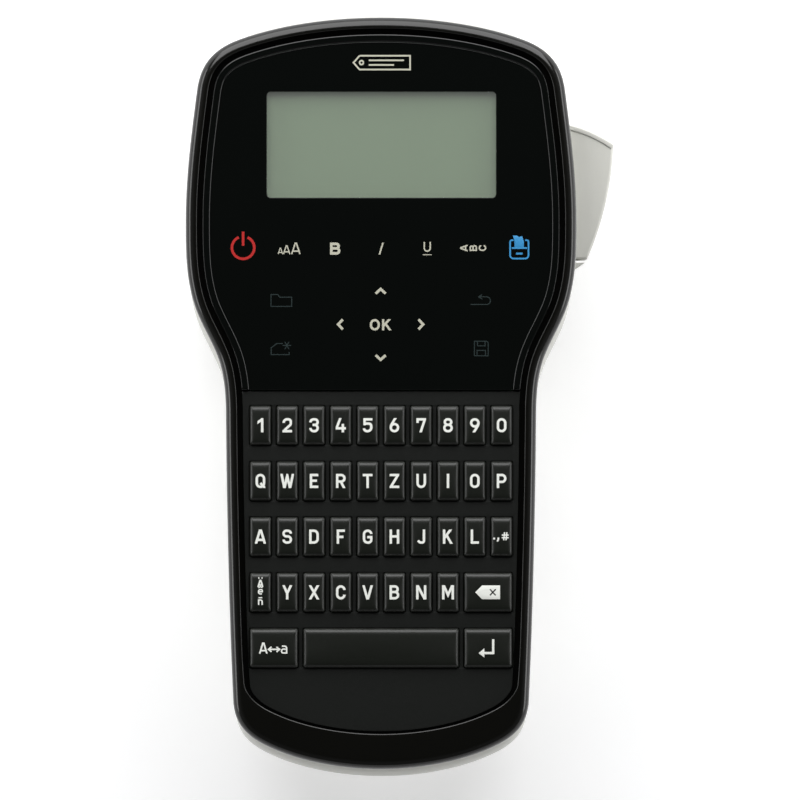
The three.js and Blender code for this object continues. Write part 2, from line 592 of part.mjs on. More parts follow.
// ---- Assembly -----------------------------------------------------------------------------------
const keys = keyTable();
const labelMaker = new THREE.Group();
labelMaker.add(
  frontHousing(),
  frontPanel(),
  displayModule(),
  keyDeck(keys),
  keyMat(),
  mainBoard(),
  backHousing(),
  cassetteDoor(),
  batteryCover(),
  batteryPack(),
  cutterLever(),
  cutterBlade(),
  tapeCassette(),
  tapeRoll(),
  printHead(),
  platenRoller(),
  drivePinion(),
  driveMotor(),
  ...keys.map(keycap),
);

export default labelMaker;
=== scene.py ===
"""Looks for a handheld label maker: smooth housings, keys, printed legends, materials, light and camera.

Lengths are millimetres in the row's frame, and become Blender's metres where a mesh is made.
"""
import math

import bmesh
import bpy
from mathutils import Matrix, Vector


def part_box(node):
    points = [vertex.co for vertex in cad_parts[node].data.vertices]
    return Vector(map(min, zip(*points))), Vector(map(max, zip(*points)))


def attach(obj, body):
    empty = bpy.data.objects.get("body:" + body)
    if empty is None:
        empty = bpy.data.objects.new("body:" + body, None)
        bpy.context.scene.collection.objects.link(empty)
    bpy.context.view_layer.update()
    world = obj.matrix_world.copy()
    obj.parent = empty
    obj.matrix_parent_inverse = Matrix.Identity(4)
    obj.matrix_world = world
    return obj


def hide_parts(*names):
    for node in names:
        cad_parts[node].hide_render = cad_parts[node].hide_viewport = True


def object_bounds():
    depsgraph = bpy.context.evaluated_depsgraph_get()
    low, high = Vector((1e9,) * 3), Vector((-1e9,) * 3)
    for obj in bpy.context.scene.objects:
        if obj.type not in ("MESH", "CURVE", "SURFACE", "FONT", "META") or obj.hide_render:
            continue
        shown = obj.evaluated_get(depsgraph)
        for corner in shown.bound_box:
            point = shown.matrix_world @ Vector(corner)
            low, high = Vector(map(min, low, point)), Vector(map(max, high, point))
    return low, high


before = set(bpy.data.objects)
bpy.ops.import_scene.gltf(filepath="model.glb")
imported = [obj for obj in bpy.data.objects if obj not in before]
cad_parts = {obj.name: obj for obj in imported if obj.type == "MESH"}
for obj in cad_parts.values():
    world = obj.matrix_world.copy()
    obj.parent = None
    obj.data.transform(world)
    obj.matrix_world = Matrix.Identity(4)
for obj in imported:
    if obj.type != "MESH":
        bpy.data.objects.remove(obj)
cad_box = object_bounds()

MM = 0.001


def box_mm(node):
    """The lowest and highest corner of a CAD node, in millimetres."""
    low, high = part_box(node)
    return low / MM, high / MM


# ---- Driving dimensions, from the frame where it gives them -----------------------------------------
FRONT_LOW, FRONT_HIGH = box_mm("front_housing")
BACK_HIGH = box_mm("back_housing")[1]
DECK_HIGH = box_mm("key_deck")[1]
PANEL_LOW, PANEL_HIGH = box_mm("front_panel")
HALF_LENGTH = FRONT_HIGH.y
HEAD_HALF = FRONT_HIGH.x
RIM_TOP = FRONT_HIGH.z
SPLIT_Z = FRONT_LOW.z
SHELL_GAP = 0.3  # how far the back shell stays inside the CAD outline
OVERHANG = BACK_HIGH.y - HALF_LENGTH + SHELL_GAP
SHOULDER_DROP = 3.6
GRIP_HALF = 40.6
TAIL_HALF = 38.7
FRONT_EDGE = 2.6
SEAM_INSET = 3.0
INSERT_INSET = 4.4
PANEL_LIP = 2.0
DECK_CHIN = 5.5
RIM_CHIN = 6.3
CHIN_START_Y, CHIN_END_Y = -66.0, -89.0
PANEL_TOP = PANEL_HIGH.z
DECK_TOP = DECK_HIGH.z
FLOOR_OF_SEAM = 57.0
SEAT_Z = FLOOR_OF_SEAM + 0.2
BACK_EDGE = 5.0
WALL = 2.4
GRIP_BACK_Z = 16.0
HEAD_BACK_END_Y, GRIP_BACK_START_Y = -14.0, -42.0
CROWN_END_X, CROWN_TAPER, CROWN_LOW_Y = 38.0, 6.0, 80.0
STEPS = 14  # points along each curve of the outline


# ---- Materials --------------------------------------------------------------------------------------
def srgb(*values):
    """Linear colour of 0 to 255 display values."""
    return tuple(((v / 255 + 0.055) / 1.055) ** 2.4 if v > 10 else v / 255 / 12.92 for v in values) + (1.0,)


GRAIN_DEPTH = 0.00004  # metres


def add_bump(material, height, strength, depth):
    """Lets an output raise the material's surface, by depth metres."""
    nodes, links = material.node_tree.nodes, material.node_tree.links
    bump = nodes.new("ShaderNodeBump")
    bump.inputs["Strength"].default_value = strength
    bump.inputs["Distance"].default_value = depth
    links.new(height, bump.inputs["Height"])
    links.new(bump.outputs["Normal"], nodes["Principled BSDF"].inputs["Normal"])


def surface(name, color, rough, grain=0.0, grain_scale=900.0, vary=0.08, metal=0.0, rough_vary=0.05,
            alpha=1.0):
    """A moulded or painted surface: colour mottled by noise, roughness that varies and a fine grain."""
    material = bpy.data.materials.new(name)
    material.use_nodes = True
    nodes, links = material.node_tree.nodes, material.node_tree.links
    shader = nodes["Principled BSDF"]
    place = nodes.new("ShaderNodeTexCoord")
    broad = nodes.new("ShaderNodeTexNoise")
    broad.inputs["Scale"].default_value = 38.0
    broad.inputs["Detail"].default_value = 4.0
    links.new(place.outputs["Object"], broad.inputs["Vector"])
    mix = nodes.new("ShaderNodeMix")
    mix.data_type = "RGBA"
    darker = tuple(c * (1 - vary) for c in color[:3]) + (1.0,)
    lighter = tuple(min(1.0, c * (1 + vary)) for c in color[:3]) + (1.0,)
    mix.inputs["A"].default_value = darker
    mix.inputs["B"].default_value = lighter
    links.new(broad.outputs["Fac"], mix.inputs["Factor"])
    links.new(mix.outputs["Result"], shader.inputs["Base Color"])
    fine = nodes.new("ShaderNodeTexNoise")
    fine.inputs["Scale"].default_value = grain_scale
    fine.inputs["Detail"].default_value = 3.0
    links.new(place.outputs["Object"], fine.inputs["Vector"])
    ramp = nodes.new("ShaderNodeMapRange")
    ramp.inputs["To Min"].default_value = max(0.02, rough - rough_vary)
    ramp.inputs["To Max"].default_value = min(1.0, rough + rough_vary)
    links.new(fine.outputs["Fac"], ramp.inputs["Value"])
    links.new(ramp.outputs["Result"], shader.inputs["Roughness"])
    if grain > 0:
        add_bump(material, fine.outputs["Fac"], grain, GRAIN_DEPTH)
    shader.inputs["Metallic"].default_value = metal
    shader.inputs["Alpha"].default_value = alpha
    return material


def ink(name, color, rough=0.45):
    """Printed ink: a little uneven, as screen printing is."""
    return surface(name, color, rough, grain=0.08, grain_scale=2600.0, vary=0.03)


def wound_tape(name, color):
    """Tape wound on a core: fine rings about the roll's own axis."""
    material = surface(name, color, 0.5, vary=0.02)
    nodes, links = material.node_tree.nodes, material.node_tree.links
    low, high = box_mm("tape_roll")
    middle = (low + high) / 2 * MM
    shift = nodes.new("ShaderNodeVectorMath")
    shift.operation = "SUBTRACT"
    shift.inputs[1].default_value = middle
    place = nodes.new("ShaderNodeTexCoord")
    links.new(place.outputs["Object"], shift.inputs[0])
    rings = nodes.new("ShaderNodeTexWave")
    rings.wave_type = "RINGS"
    rings.rings_direction = "Z"
    rings.inputs["Scale"].default_value = 900.0
    links.new(shift.outputs["Vector"], rings.inputs["Vector"])
    add_bump(material, rings.outputs["Fac"], 0.25, 0.00008)
    return material


def lcd(name):
    """A grey-green liquid crystal display, with the faint grid of its dots."""
    material = surface(name, srgb(104, 122, 98), 0.32, vary=0.02)
    nodes, links = material.node_tree.nodes, material.node_tree.links
    place = nodes.new("ShaderNodeTexCoord")
    dots = nodes.new("ShaderNodeTexChecker")
    dots.inputs["Scale"].default_value = 2400.0
    links.new(place.outputs["Object"], dots.inputs["Vector"])
    add_bump(material, dots.outputs["Fac"], 0.05, 0.00001)
    return material


def brushed(name, color, rough):
    """Metal with a directional grain."""
    material = surface(name, color, rough, metal=1.0, grain=0.15, grain_scale=700.0)
    nodes, links = material.node_tree.nodes, material.node_tree.links
    stretch = nodes.new("ShaderNodeMapping")
    stretch.inputs["Scale"].default_value = (1.0, 12.0, 1.0)
    place = nodes.new("ShaderNodeTexCoord")
    links.new(place.outputs["Object"], stretch.inputs["Vector"])
    for node in nodes:
        if node.type == "TEX_NOISE":
            links.new(stretch.outputs["Vector"], node.inputs["Vector"])
    return material


GLOSS = surface("gloss_black_plastic", srgb(13, 13, 11), 0.14, grain=0.03, grain_scale=500.0, rough_vary=0.03)
PANEL = surface("panel_acrylic_black", srgb(8, 10, 9), 0.055, rough_vary=0.02, grain_scale=700.0)
LENS = surface("panel_acrylic_clear", srgb(235, 240, 235), 0.04, alpha=0.06, vary=0.0)
DECK = surface("deck_satin_black", srgb(7, 10, 7), 0.42, grain=0.25, grain_scale=2200.0, vary=0.12)
KEYCAP = surface("key_satin_black", srgb(15, 18, 13), 0.36, grain=0.20, grain_scale=2600.0, vary=0.10)
SILVER = surface("silver_painted_shell", srgb(208, 208, 202), 0.38, grain=0.22, grain_scale=2400.0,
                 vary=0.05, metal=0.12)
SILVER_COVER = surface("silver_painted_cover", srgb(204, 204, 198), 0.42, grain=0.25, grain_scale=2400.0,
                       vary=0.05, metal=0.12)
SILVER_LEVER = surface("silver_painted_lever", srgb(214, 214, 207), 0.48, grain=0.35, grain_scale=1900.0,
                       vary=0.06, metal=0.08)
LEGEND_WHITE = ink("key_print_white", srgb(232, 234, 228))
LEGEND_BEIGE = ink("panel_print_beige", srgb(188, 187, 170))
LEGEND_DIM = ink("panel_print_dim_teal", srgb(26, 40, 40))
LEGEND_RED = ink("panel_print_red", srgb(178, 32, 30))
LEGEND_BLUE = ink("panel_print_blue", srgb(52, 140, 196))
MAT_RUBBER = surface("mat_silicone_grey", srgb(78, 78, 75), 0.7, grain=0.3, grain_scale=1500.0)
BOARD = surface("board_solder_mask", srgb(34, 92, 52), 0.35, grain=0.2, grain_scale=800.0, vary=0.2)
CASSETTE = surface("cassette_black_plastic", srgb(38, 42, 47), 0.4, grain=0.3, grain_scale=1800.0, vary=0.1)
ROLLER = surface("roller_rubber", srgb(44, 44, 44), 0.75, grain=0.4, grain_scale=1600.0)
PACK = surface("battery_wrap", srgb(40, 43, 42), 0.5, grain=0.2, grain_scale=1200.0, vary=0.12)
STEEL = brushed("blade_ground_steel", srgb(196, 198, 202), 0.22)
CAN = brushed("motor_plated_can", srgb(184, 186, 190), 0.3)
SINK = brushed("print_head_aluminium", srgb(190, 192, 194), 0.35)
SCREW = brushed("screw_zinc", srgb(120, 121, 124), 0.32)
LCD = lcd("lcd_grey_green")
TAPE = wound_tape("label_tape_white", srgb(236, 236, 230))
LABEL = surface("blank_rating_label", srgb(205, 206, 202), 0.38, grain=0.05, vary=0.02)
SOCKET = surface("socket_black_plastic", srgb(22, 23, 22), 0.5, grain=0.3, grain_scale=1500.0)


# ---- Meshes -----------------------------------------------------------------------------------------
MERGE, PLATE_MERGE = 1e-7, 2e-6  # metres within which points of a mesh become one


def linked(name, data):
    """A new object in the scene."""
    item = bpy.data.objects.new(name, data)
    bpy.context.scene.collection.objects.link(item)
    return item


def outward(mesh, merge=0.0):
    """The mesh with its faces turned outwards, and points within merge of each other made one."""
    work = bmesh.new()
    work.from_mesh(mesh)
    if merge:
        bmesh.ops.remove_doubles(work, verts=work.verts, dist=merge)
    bmesh.ops.recalc_face_normals(work, faces=work.faces)
    work.to_mesh(mesh)
    work.free()
    return mesh


def finished(mesh, name, material, body, replaces=(), sharp=32.0, weighted=True):
    """An object of the mesh, shaded smooth but for its sharp edges, riding on its body."""
    mesh.name = name
    mesh.materials.clear()
    mesh.materials.append(material)
    mesh.shade_smooth()
    mesh.set_sharp_from_angle(angle=math.radians(sharp))
    piece = linked(name, mesh)
    if weighted:
        normals = piece.modifiers.new("face_weighted", "WEIGHTED_NORMAL")
        normals.keep_sharp = True
    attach(piece, body)
    if replaces:
        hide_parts(*replaces)
    return piece


def raw_mesh(verts, faces):
    """A mesh from points in millimetres, with its faces turned outwards."""
    mesh = bpy.data.meshes.new("raw")
    mesh.from_pydata([Vector(v) * MM for v in verts], [], faces)
    return outward(mesh, MERGE)


def mesh_of(curve_or_text):
    """The evaluated mesh of an object, which is then removed."""
    bpy.context.view_layer.update()
    graph = bpy.context.evaluated_depsgraph_get()
    mesh = bpy.data.meshes.new_from_object(curve_or_text.evaluated_get(graph))
    bpy.data.objects.remove(curve_or_text)
    return mesh


def plate_mesh(outer, holes, z0, z1, bevel=0.3, rounds=3):
    """A flat plate with holes from z0 to z1, its rims rounded by bevel."""
    curve = bpy.data.curves.new("plate", "CURVE")
    curve.dimensions = "2D"
    curve.fill_mode = "BOTH"
    curve.extrude = ((z1 - z0) / 2 - bevel) * MM
    curve.bevel_depth = bevel * MM
    curve.bevel_resolution = rounds
    curve.offset = -bevel * MM
    for ring in [outer, *holes]:
        spline = curve.splines.new("POLY")
        spline.points.add(len(ring) - 1)
        for point, (x, y) in zip(spline.points, ring):
            point.co = (x * MM, y * MM, 0, 1)
        spline.use_cyclic_u = True
    mesh = mesh_of(linked("plate", curve))
    mesh.transform(Matrix.Translation((0, 0, (z0 + z1) / 2 * MM)))
    return outward(mesh, PLATE_MERGE)


def joined(*meshes):
    """One mesh of several that don't touch."""
    work = bmesh.new()
    for mesh in meshes:
        work.from_mesh(mesh)
    whole = bpy.data.meshes.new("joined")
    work.to_mesh(whole)
    work.free()
    return whole


def boolean(mesh, operation, *tools, overlapping=False):
    """mesh after a boolean with each tool mesh in turn. Overlapping says that mesh crosses itself."""
    for tool in tools:
        a, b = linked("a", mesh), linked("b", tool)
        step = a.modifiers.new("cut", "BOOLEAN")
        step.operation = operation
        step.object = b
        step.solver = "EXACT"
        step.use_self = overlapping
        mesh = mesh_of(a)
        bpy.data.objects.remove(b)
    return mesh


def cut(mesh, *tools):
    """The mesh without what the tools take away."""
    return boolean(mesh, "DIFFERENCE", *tools)


BLOCK_SIDES = [(0, 2, 3, 1), (4, 5, 7, 6), (0, 1, 5, 4), (2, 6, 7, 3), (0, 4, 6, 2), (1, 3, 7, 5)]


def block_corners(x0, x1, y0, y1, z0, z1):
    return [(x, y, z) for z in (z0, z1) for y in (y0, y1) for x in (x0, x1)]


def block(*sides):
    """A block between x0, x1, y0, y1, z0 and z1."""
    return raw_mesh(block_corners(*sides), BLOCK_SIDES)


def wall_faces(levels, count, closed=False):
    """The faces between neighbouring rings of count points each. Closed joins the last ring to the first."""
    faces = []
    for i in range(levels if closed else levels - 1):
        j = (i + 1) % levels
        for k in range(count):
            m = (k + 1) % count
            faces.append((i * count + k, i * count + m, j * count + m, j * count + k))
    return faces


def drum(x, y, radius, z0, z1, sides=48, top=None):
    """An upright drum, or a cone frustum where top gives another upper radius."""
    work = bmesh.new()
    place = Matrix.Translation((x * MM, y * MM, (z0 + z1) / 2 * MM))
    upper = (radius if top is None else top) * MM
    bmesh.ops.create_cone(work, cap_ends=True, segments=sides, radius1=radius * MM, radius2=upper,
                          depth=(z1 - z0) * MM, matrix=place)
    mesh = bpy.data.meshes.new("drum")
    work.to_mesh(mesh)
    work.free()
    return mesh


def spindle(x, z, radius, y0, y1, sides=32):
    """A drum that lies along Y."""
    mesh = drum(0, 0, radius, y0, y1, sides)
    turn = Matrix.Rotation(math.radians(-90), 4, "X")
    mesh.transform(Matrix.Translation((x * MM, 0, z * MM)) @ turn)
    return mesh


def arc(cx, cy, radius, start, end, steps):
    """Points on an arc, angles in degrees."""
    angles = [math.radians(start + (end - start) * i / steps) for i in range(steps + 1)]
    return [(cx + radius * math.cos(a), cy + radius * math.sin(a)) for a in angles]


def rounded_rect(x0, x1, y0, y1, r, steps=6):
    corners = [(x1 - r, y0 + r, -90), (x1 - r, y1 - r, 0), (x0 + r, y1 - r, 90), (x0 + r, y0 + r, 180)]
    return [p for cx, cy, a in corners for p in arc(cx, cy, r, a, a + 90, steps)]


# ---- The outline ------------------------------------------------------------------------------------
def cubic(a, b, c, d, t):
    u = 1 - t
    return u * u * u * a + 3 * u * u * t * b + 3 * u * t * t * c + t * t * t * d


def smooth(t):
    t = min(1.0, max(0.0, t))
    return t * t * (3 - 2 * t)


def right_edge(drop, tail):
    """The right-hand edge from the crown down to the tail."""
    top, low = HALF_LENGTH, -HALF_LENGTH - tail
    curves = [
        ((0, top), (14, top), (27, 96.2), (37, 92.6)),
        ((37, 92.6), (44.5, 89.9), (47.4, 85.5), (48.2, 79)),
        ((48.2, 79), (49.6, 68), (HEAD_HALF, 57), (HEAD_HALF, 45)),
        ((HEAD_HALF, 45), (HEAD_HALF, 36.5 - drop), (51.0, 31 - drop), (49.2, 24.4 - drop)),
        ((49.2, 24.4 - drop), (47.6, 18.6 - drop), (44.2, 13.9 - drop), (42.4, 8.7 - drop)),
        ((42.4, 8.7 - drop), (41, 4.6 - drop), (40.7, -drop), (GRIP_HALF, -4 - drop)),
        ((GRIP_HALF, -4 - drop), (40.4, -29 - drop), (39.8, -56 - tail), (TAIL_HALF, -80 - tail)),
        ((TAIL_HALF, -80 - tail), (38.5, -86 - tail), (35.6, -89.2 - tail), (31.1, -91.6 - tail)),
        ((31.1, -91.6 - tail), (22, -96.4 - tail), (10, low), (0, low)),
    ]
    points = [(0.0, top)]
    for a, b, c, d in curves:
        for i in range(1, STEPS + 1):
            points.append(tuple(cubic(a[k], b[k], c[k], d[k], i / STEPS) for k in (0, 1)))
    return points


def half_outline(inset=0.0, chin=0.0, drop=0.0, tail=0.0, crown=0.0):
    """The right-hand edge moved in by inset, up by chin towards the tail and out by crown at the top."""
    edge = right_edge(drop, tail)
    moved = []
    for i, (x, y) in enumerate(edge):
        before, after = edge[max(i - 1, 0)], edge[min(i + 1, len(edge) - 1)]
        along = Vector((after[0] - before[0], after[1] - before[1])).normalized()
        if i in (0, len(edge) - 1):
            along = Vector((1, 0)) if i == 0 else Vector((-1, 0))
        raised = y + chin * smooth((CHIN_START_Y - y) / (CHIN_START_Y - CHIN_END_Y))
        raised += crown * smooth((CROWN_END_X - x) / CROWN_TAPER) if y > CROWN_LOW_Y else 0.0
        moved.append((x + along.y * inset, raised - along.x * inset))
    return moved


def outline(inset, chin):
    """The whole outline, clockwise from the crown."""
    half = half_outline(inset, chin)
    return half + [(-x, y) for x, y in reversed(half[1:-1])]


def crossing(points, y):
    """The point where a falling line of points passes y."""
    for (ax, ay), (bx, by) in zip(points, points[1:]):
        if ay >= y > by:
            t = (ay - y) / (ay - by)
            return ax + (bx - ax) * t, y


def arch(inset, y):
    """The part of the outline above y, from its left foot over the crown to its right foot."""
    half = half_outline(inset)
    right = [p for p in half if p[1] > y] + [crossing(half, y)]
    return [(-px, py) for px, py in reversed(right[1:])] + right


def bowl(inset, y, chin):
    """The part of the outline below y, from its right foot round the tail to its left foot."""
    half = half_outline(inset, chin)
    right = [crossing(half, y)] + [p for p in half if p[1] < y]
    return right + [(-px, py) for px, py in reversed(right[:-1])]


def swept(profile):
    """A closed band round the outline. The profile is a closed list of (inset, z, chin)."""
    rings = [outline(inset, chin) for inset, _, chin in profile]
    verts = [(x, y, z) for ring, (_, z, _) in zip(rings, profile) for x, y in ring]
    return raw_mesh(verts, wall_faces(len(profile), len(rings[0]), closed=True))


# ---- Front ------------------------------------------------------------------------------------------
def make_front_housing():
    """The glossy rim and side wall, with the groove that the panel and the deck sit in."""
    rounding = [(FRONT_EDGE - FRONT_EDGE * math.cos(a), RIM_TOP - FRONT_EDGE + FRONT_EDGE * math.sin(a), 0.0)
                for a in [math.radians(d) for d in range(0, 91, 9)]]
    lip = 0.35
    inner = [(SEAM_INSET - lip + lip * math.sin(a), RIM_TOP - lip + lip * math.cos(a), RIM_CHIN)
             for a in [math.radians(d) for d in range(0, 91, 18)]]
    floor = [
        (SEAM_INSET, FLOOR_OF_SEAM, RIM_CHIN),
        (INSERT_INSET + 0.1, FLOOR_OF_SEAM, DECK_CHIN),
        (INSERT_INSET + 0.1, FLOOR_OF_SEAM - 1.6, DECK_CHIN),
        (WALL, FLOOR_OF_SEAM - 2.6, 0.0),
        (WALL, SPLIT_Z, 0.0),
        (0.35, SPLIT_Z, 0.0),
        (0.0, SPLIT_Z + 0.35, 0.0),
    ]
    shell = swept([*rounding, *inner, *floor])
    finished(shell, "rim_and_side_wall", GLOSS, "housing", ["front_housing"])


DISPLAY_X, DISPLAY_Y, DISPLAY_W, DISPLAY_H = 0.1, 64.95, 59.9, 27.7
PANEL_SUNK = 0.28


def display_ring(margin, radius):
    return rounded_rect(DISPLAY_X - DISPLAY_W / 2 - margin, DISPLAY_X + DISPLAY_W / 2 + margin,
                        DISPLAY_Y - DISPLAY_H / 2 - margin, DISPLAY_Y + DISPLAY_H / 2 + margin, radius)


def make_panel():
    """The gloss panel: a raised border, a sunk face with the display's window, and its clear lens."""
    foot = PANEL_LOW.y
    border = arch(INSERT_INSET, foot) + arch(INSERT_INSET + PANEL_LIP, foot)[::-1]
    finished(plate_mesh(border, [], SEAT_Z, PANEL_TOP, 0.42, 5), "panel_border", PANEL,
             "housing", ["front_panel"])
    face_top = PANEL_TOP - PANEL_SUNK
    face = arch(INSERT_INSET + PANEL_LIP + 0.06, foot)
    finished(plate_mesh(face, [display_ring(0.0, 1.0)], face_top - 1.5, face_top, 0.12, 2), "panel_face",
             PANEL, "housing")
    finished(plate_mesh(display_ring(-0.03, 0.97), [], face_top - 0.5, face_top - 0.02, 0.05, 1),
             "display_lens", LENS, "housing")


def make_display():
    """The glass of the display and the black frame that holds it."""
    glass_top = PANEL_TOP - PANEL_SUNK - 2.0
    finished(plate_mesh(display_ring(0.9, 1.2), [], glass_top - 0.9, glass_top, 0.1, 2), "display_glass",
             LCD, "housing", ["display_module"])
    finished(plate_mesh(display_ring(3.2, 1.5), [display_ring(0.95, 1.2)], glass_top - 2.2, glass_top - 0.1,
                        0.15, 2), "display_frame", SOCKET, "housing")


# ---- Keys -------------------------------------------------------------------------------------------
KEY_FLANGE = 0.45
CAP_GROWTH = 0.15
CAP_CROWN = 0.30  # how far the ends of a key's top lie below its middle
# a key's edge from its wall to its top: how far in, and how far below the top
CAP_EDGE = [(0.0, 1.0), (0.03, 0.84), (0.12, 0.68), (0.34, 0.44), (0.56, 0.24), (0.72, 0.14), (0.95, 0.08),
            (1.3, 0.05)]
CAP_STRIPS = 10  # a key's top is cut into strips so that it stays curved
KEY_GAP = 0.1
NOT_KEYS = ("key_deck", "key_mat")
KEY_NODES = [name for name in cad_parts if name.startswith("key_") and name not in NOT_KEYS]


def key_face(node):
    """The key's footprint without the flange under the deck: x0, x1, y0, y1."""
    low, high = box_mm(node)
    return low.x, high.x, low.y + KEY_FLANGE, high.y - KEY_FLANGE


def make_deck():
    """The satin plate round the keys."""
    holes, side = [], CAP_GROWTH + KEY_GAP
    for node in KEY_NODES:
        x0, x1, y0, y1 = key_face(node)
        holes.append(rounded_rect(x0 - side, x1 + side, y0 - KEY_GAP, y1 + KEY_GAP, 0.5, 3)[::-1])
    plate = plate_mesh(bowl(INSERT_INSET, DECK_HIGH.y, DECK_CHIN), holes, SEAT_Z, DECK_TOP, 0.16, 2)
    finished(plate, "key_deck_plate", DECK, "housing", ["key_deck"])


def make_key(node):
    """A key cap with soft edges and a slightly crowned top."""
    x0, x1, y0, y1 = key_face(node)
    x0, x1 = x0 - CAP_GROWTH, x1 + CAP_GROWTH
    top = box_mm(node)[1].z
    middle, half = (y0 + y1) / 2, (y1 - y0) / 2
    rings = [(inset, top - below) for inset, below in CAP_EDGE]
    rings.insert(0, (0.0, DECK_TOP - 2.2))
    verts = []
    for inset, z in rings:
        radius = max(0.12, 0.62 - inset * 0.2)
        ring = rounded_rect(x0 + inset, x1 - inset, y0 + inset, y1 - inset, radius, 5)
        verts += [(x, y, z - CAP_CROWN * ((y - middle) / half) ** 2 * (z > DECK_TOP)) for x, y in ring]
    count = len(ring)
    mesh = raw_mesh(verts, wall_faces(len(rings), count) + [tuple(reversed(range(count)))])
    work = bmesh.new()
    work.from_mesh(mesh)
    open_edges = [e for e in work.edges if e.is_boundary]
    bmesh.ops.contextual_create(work, geom=open_edges)
    for level in range(1, CAP_STRIPS):
        y = y0 + inset + (y1 - y0 - 2 * inset) * level / CAP_STRIPS
        flat = [f for f in work.faces if f.normal.z > 0.9]
        geom = flat + list({e for f in flat for e in f.edges}) + list({v for f in flat for v in f.verts})
        bmesh.ops.bisect_plane(work, geom=geom, plane_co=(0, y * MM, 0), plane_no=(0, 1, 0), dist=MERGE)
    slack = inset - 1e-3
    for v in work.verts:
        within_x = (x0 + slack) * MM <= v.co.x <= (x1 - slack) * MM
        within_y = (y0 + slack) * MM <= v.co.y <= (y1 - slack) * MM
        if within_x and within_y and v.co.z > (top - 0.8) * MM:
            v.co.z = (top - 0.05 - CAP_CROWN * ((v.co.y / MM - middle) / half) ** 2) * MM
    bmesh.ops.recalc_face_normals(work, faces=work.faces)
    work.to_mesh(mesh)
    work.free()
    finished(mesh, f"cap_of_{node}", KEYCAP, node, [node], sharp=50.0, weighted=False)


# ---- Printed legends --------------------------------------------------------------------------------
PRINT_DEPTH = 0.03
KEY_PRINT_DEPTH = 0.14  # deep enough to follow a key's curved top
PRINT_RISE = 0.02
SHARPEST_MITRE = 0.03


def printed(mesh, name, material, body="housing"):
    return finished(mesh, name, material, body, weighted=False)


def path_of(points):
    """Points along a line whose corners are rounded where a point gives a radius as its third number."""
    path = []
    for i, point in enumerate(points):
        corner = Vector(point[:2])
        if len(point) < 3 or i in (0, len(points) - 1):
            path.append(corner)
            continue
        to_last = Vector(points[i - 1][:2]) - corner
        to_next = Vector(points[i + 1][:2]) - corner
        half = to_last.angle(to_next) / 2
        room_last = to_last.length * (1.0 if i == 1 else 0.5)
        room_next = to_next.length * (1.0 if i == len(points) - 2 else 0.5)
        reach = min(point[2] / math.tan(half), room_last, room_next)
        a, b = corner + to_last.normalized() * reach, corner + to_next.normalized() * reach
        weight = math.sin(half)
        for k in range(9):
            t = k / 8
            shares = ((1 - t) ** 2, 2 * t * (1 - t) * weight, t ** 2)
            path.append((a * shares[0] + corner * shares[1] + b * shares[2]) / sum(shares))
    return path


def ribbon_mesh(points, width):
    """A flat band one unit thick along a line, with mitred corners, in millimetres."""
    path = path_of(points)
    path = [p for i, p in enumerate(path) if i == 0 or (p - path[i - 1]).length > 1e-4]
    verts = []
    for i, here in enumerate(path):
        before = (here - path[i - 1]).normalized() if i else (path[1] - here).normalized()
        after = (path[i + 1] - here).normalized() if i + 1 < len(path) else before
        left_a, left_b = Vector((-before.y, before.x)), Vector((-after.y, after.x))
        mitre = (left_a + left_b) / max(SHARPEST_MITRE, 1 + left_a.dot(left_b)) * width / 2
        for side in (1, -1):
            verts += [(*(here + mitre * side), 0.0), (*(here + mitre * side), 1.0)]
    faces = [(0, 1, 3, 2), tuple(len(verts) - 4 + k for k in (2, 3, 1, 0))]
    for i in range(len(path) - 1):
        a, b = i * 4, i * 4 + 4
        faces += [(a + 1, b + 1, b + 3, a + 3), (a, a + 2, b + 2, b), (a, b, b + 1, a + 1),
                  (a + 2, a + 3, b + 3, b + 2)]
    mesh = bpy.data.meshes.new("ribbon")
    mesh.from_pydata(verts, [], faces)
    return outward(mesh)


def loop(x0, x1, y0, y1, r):
    """A closed rounded box as one line that starts and ends at the middle of its foot."""
    middle = (x0 + x1) / 2
    return [(middle, y0), (x1, y0, r), (x1, y1, r), (x0, y1, r), (x0, y0, r), (middle, y0)]


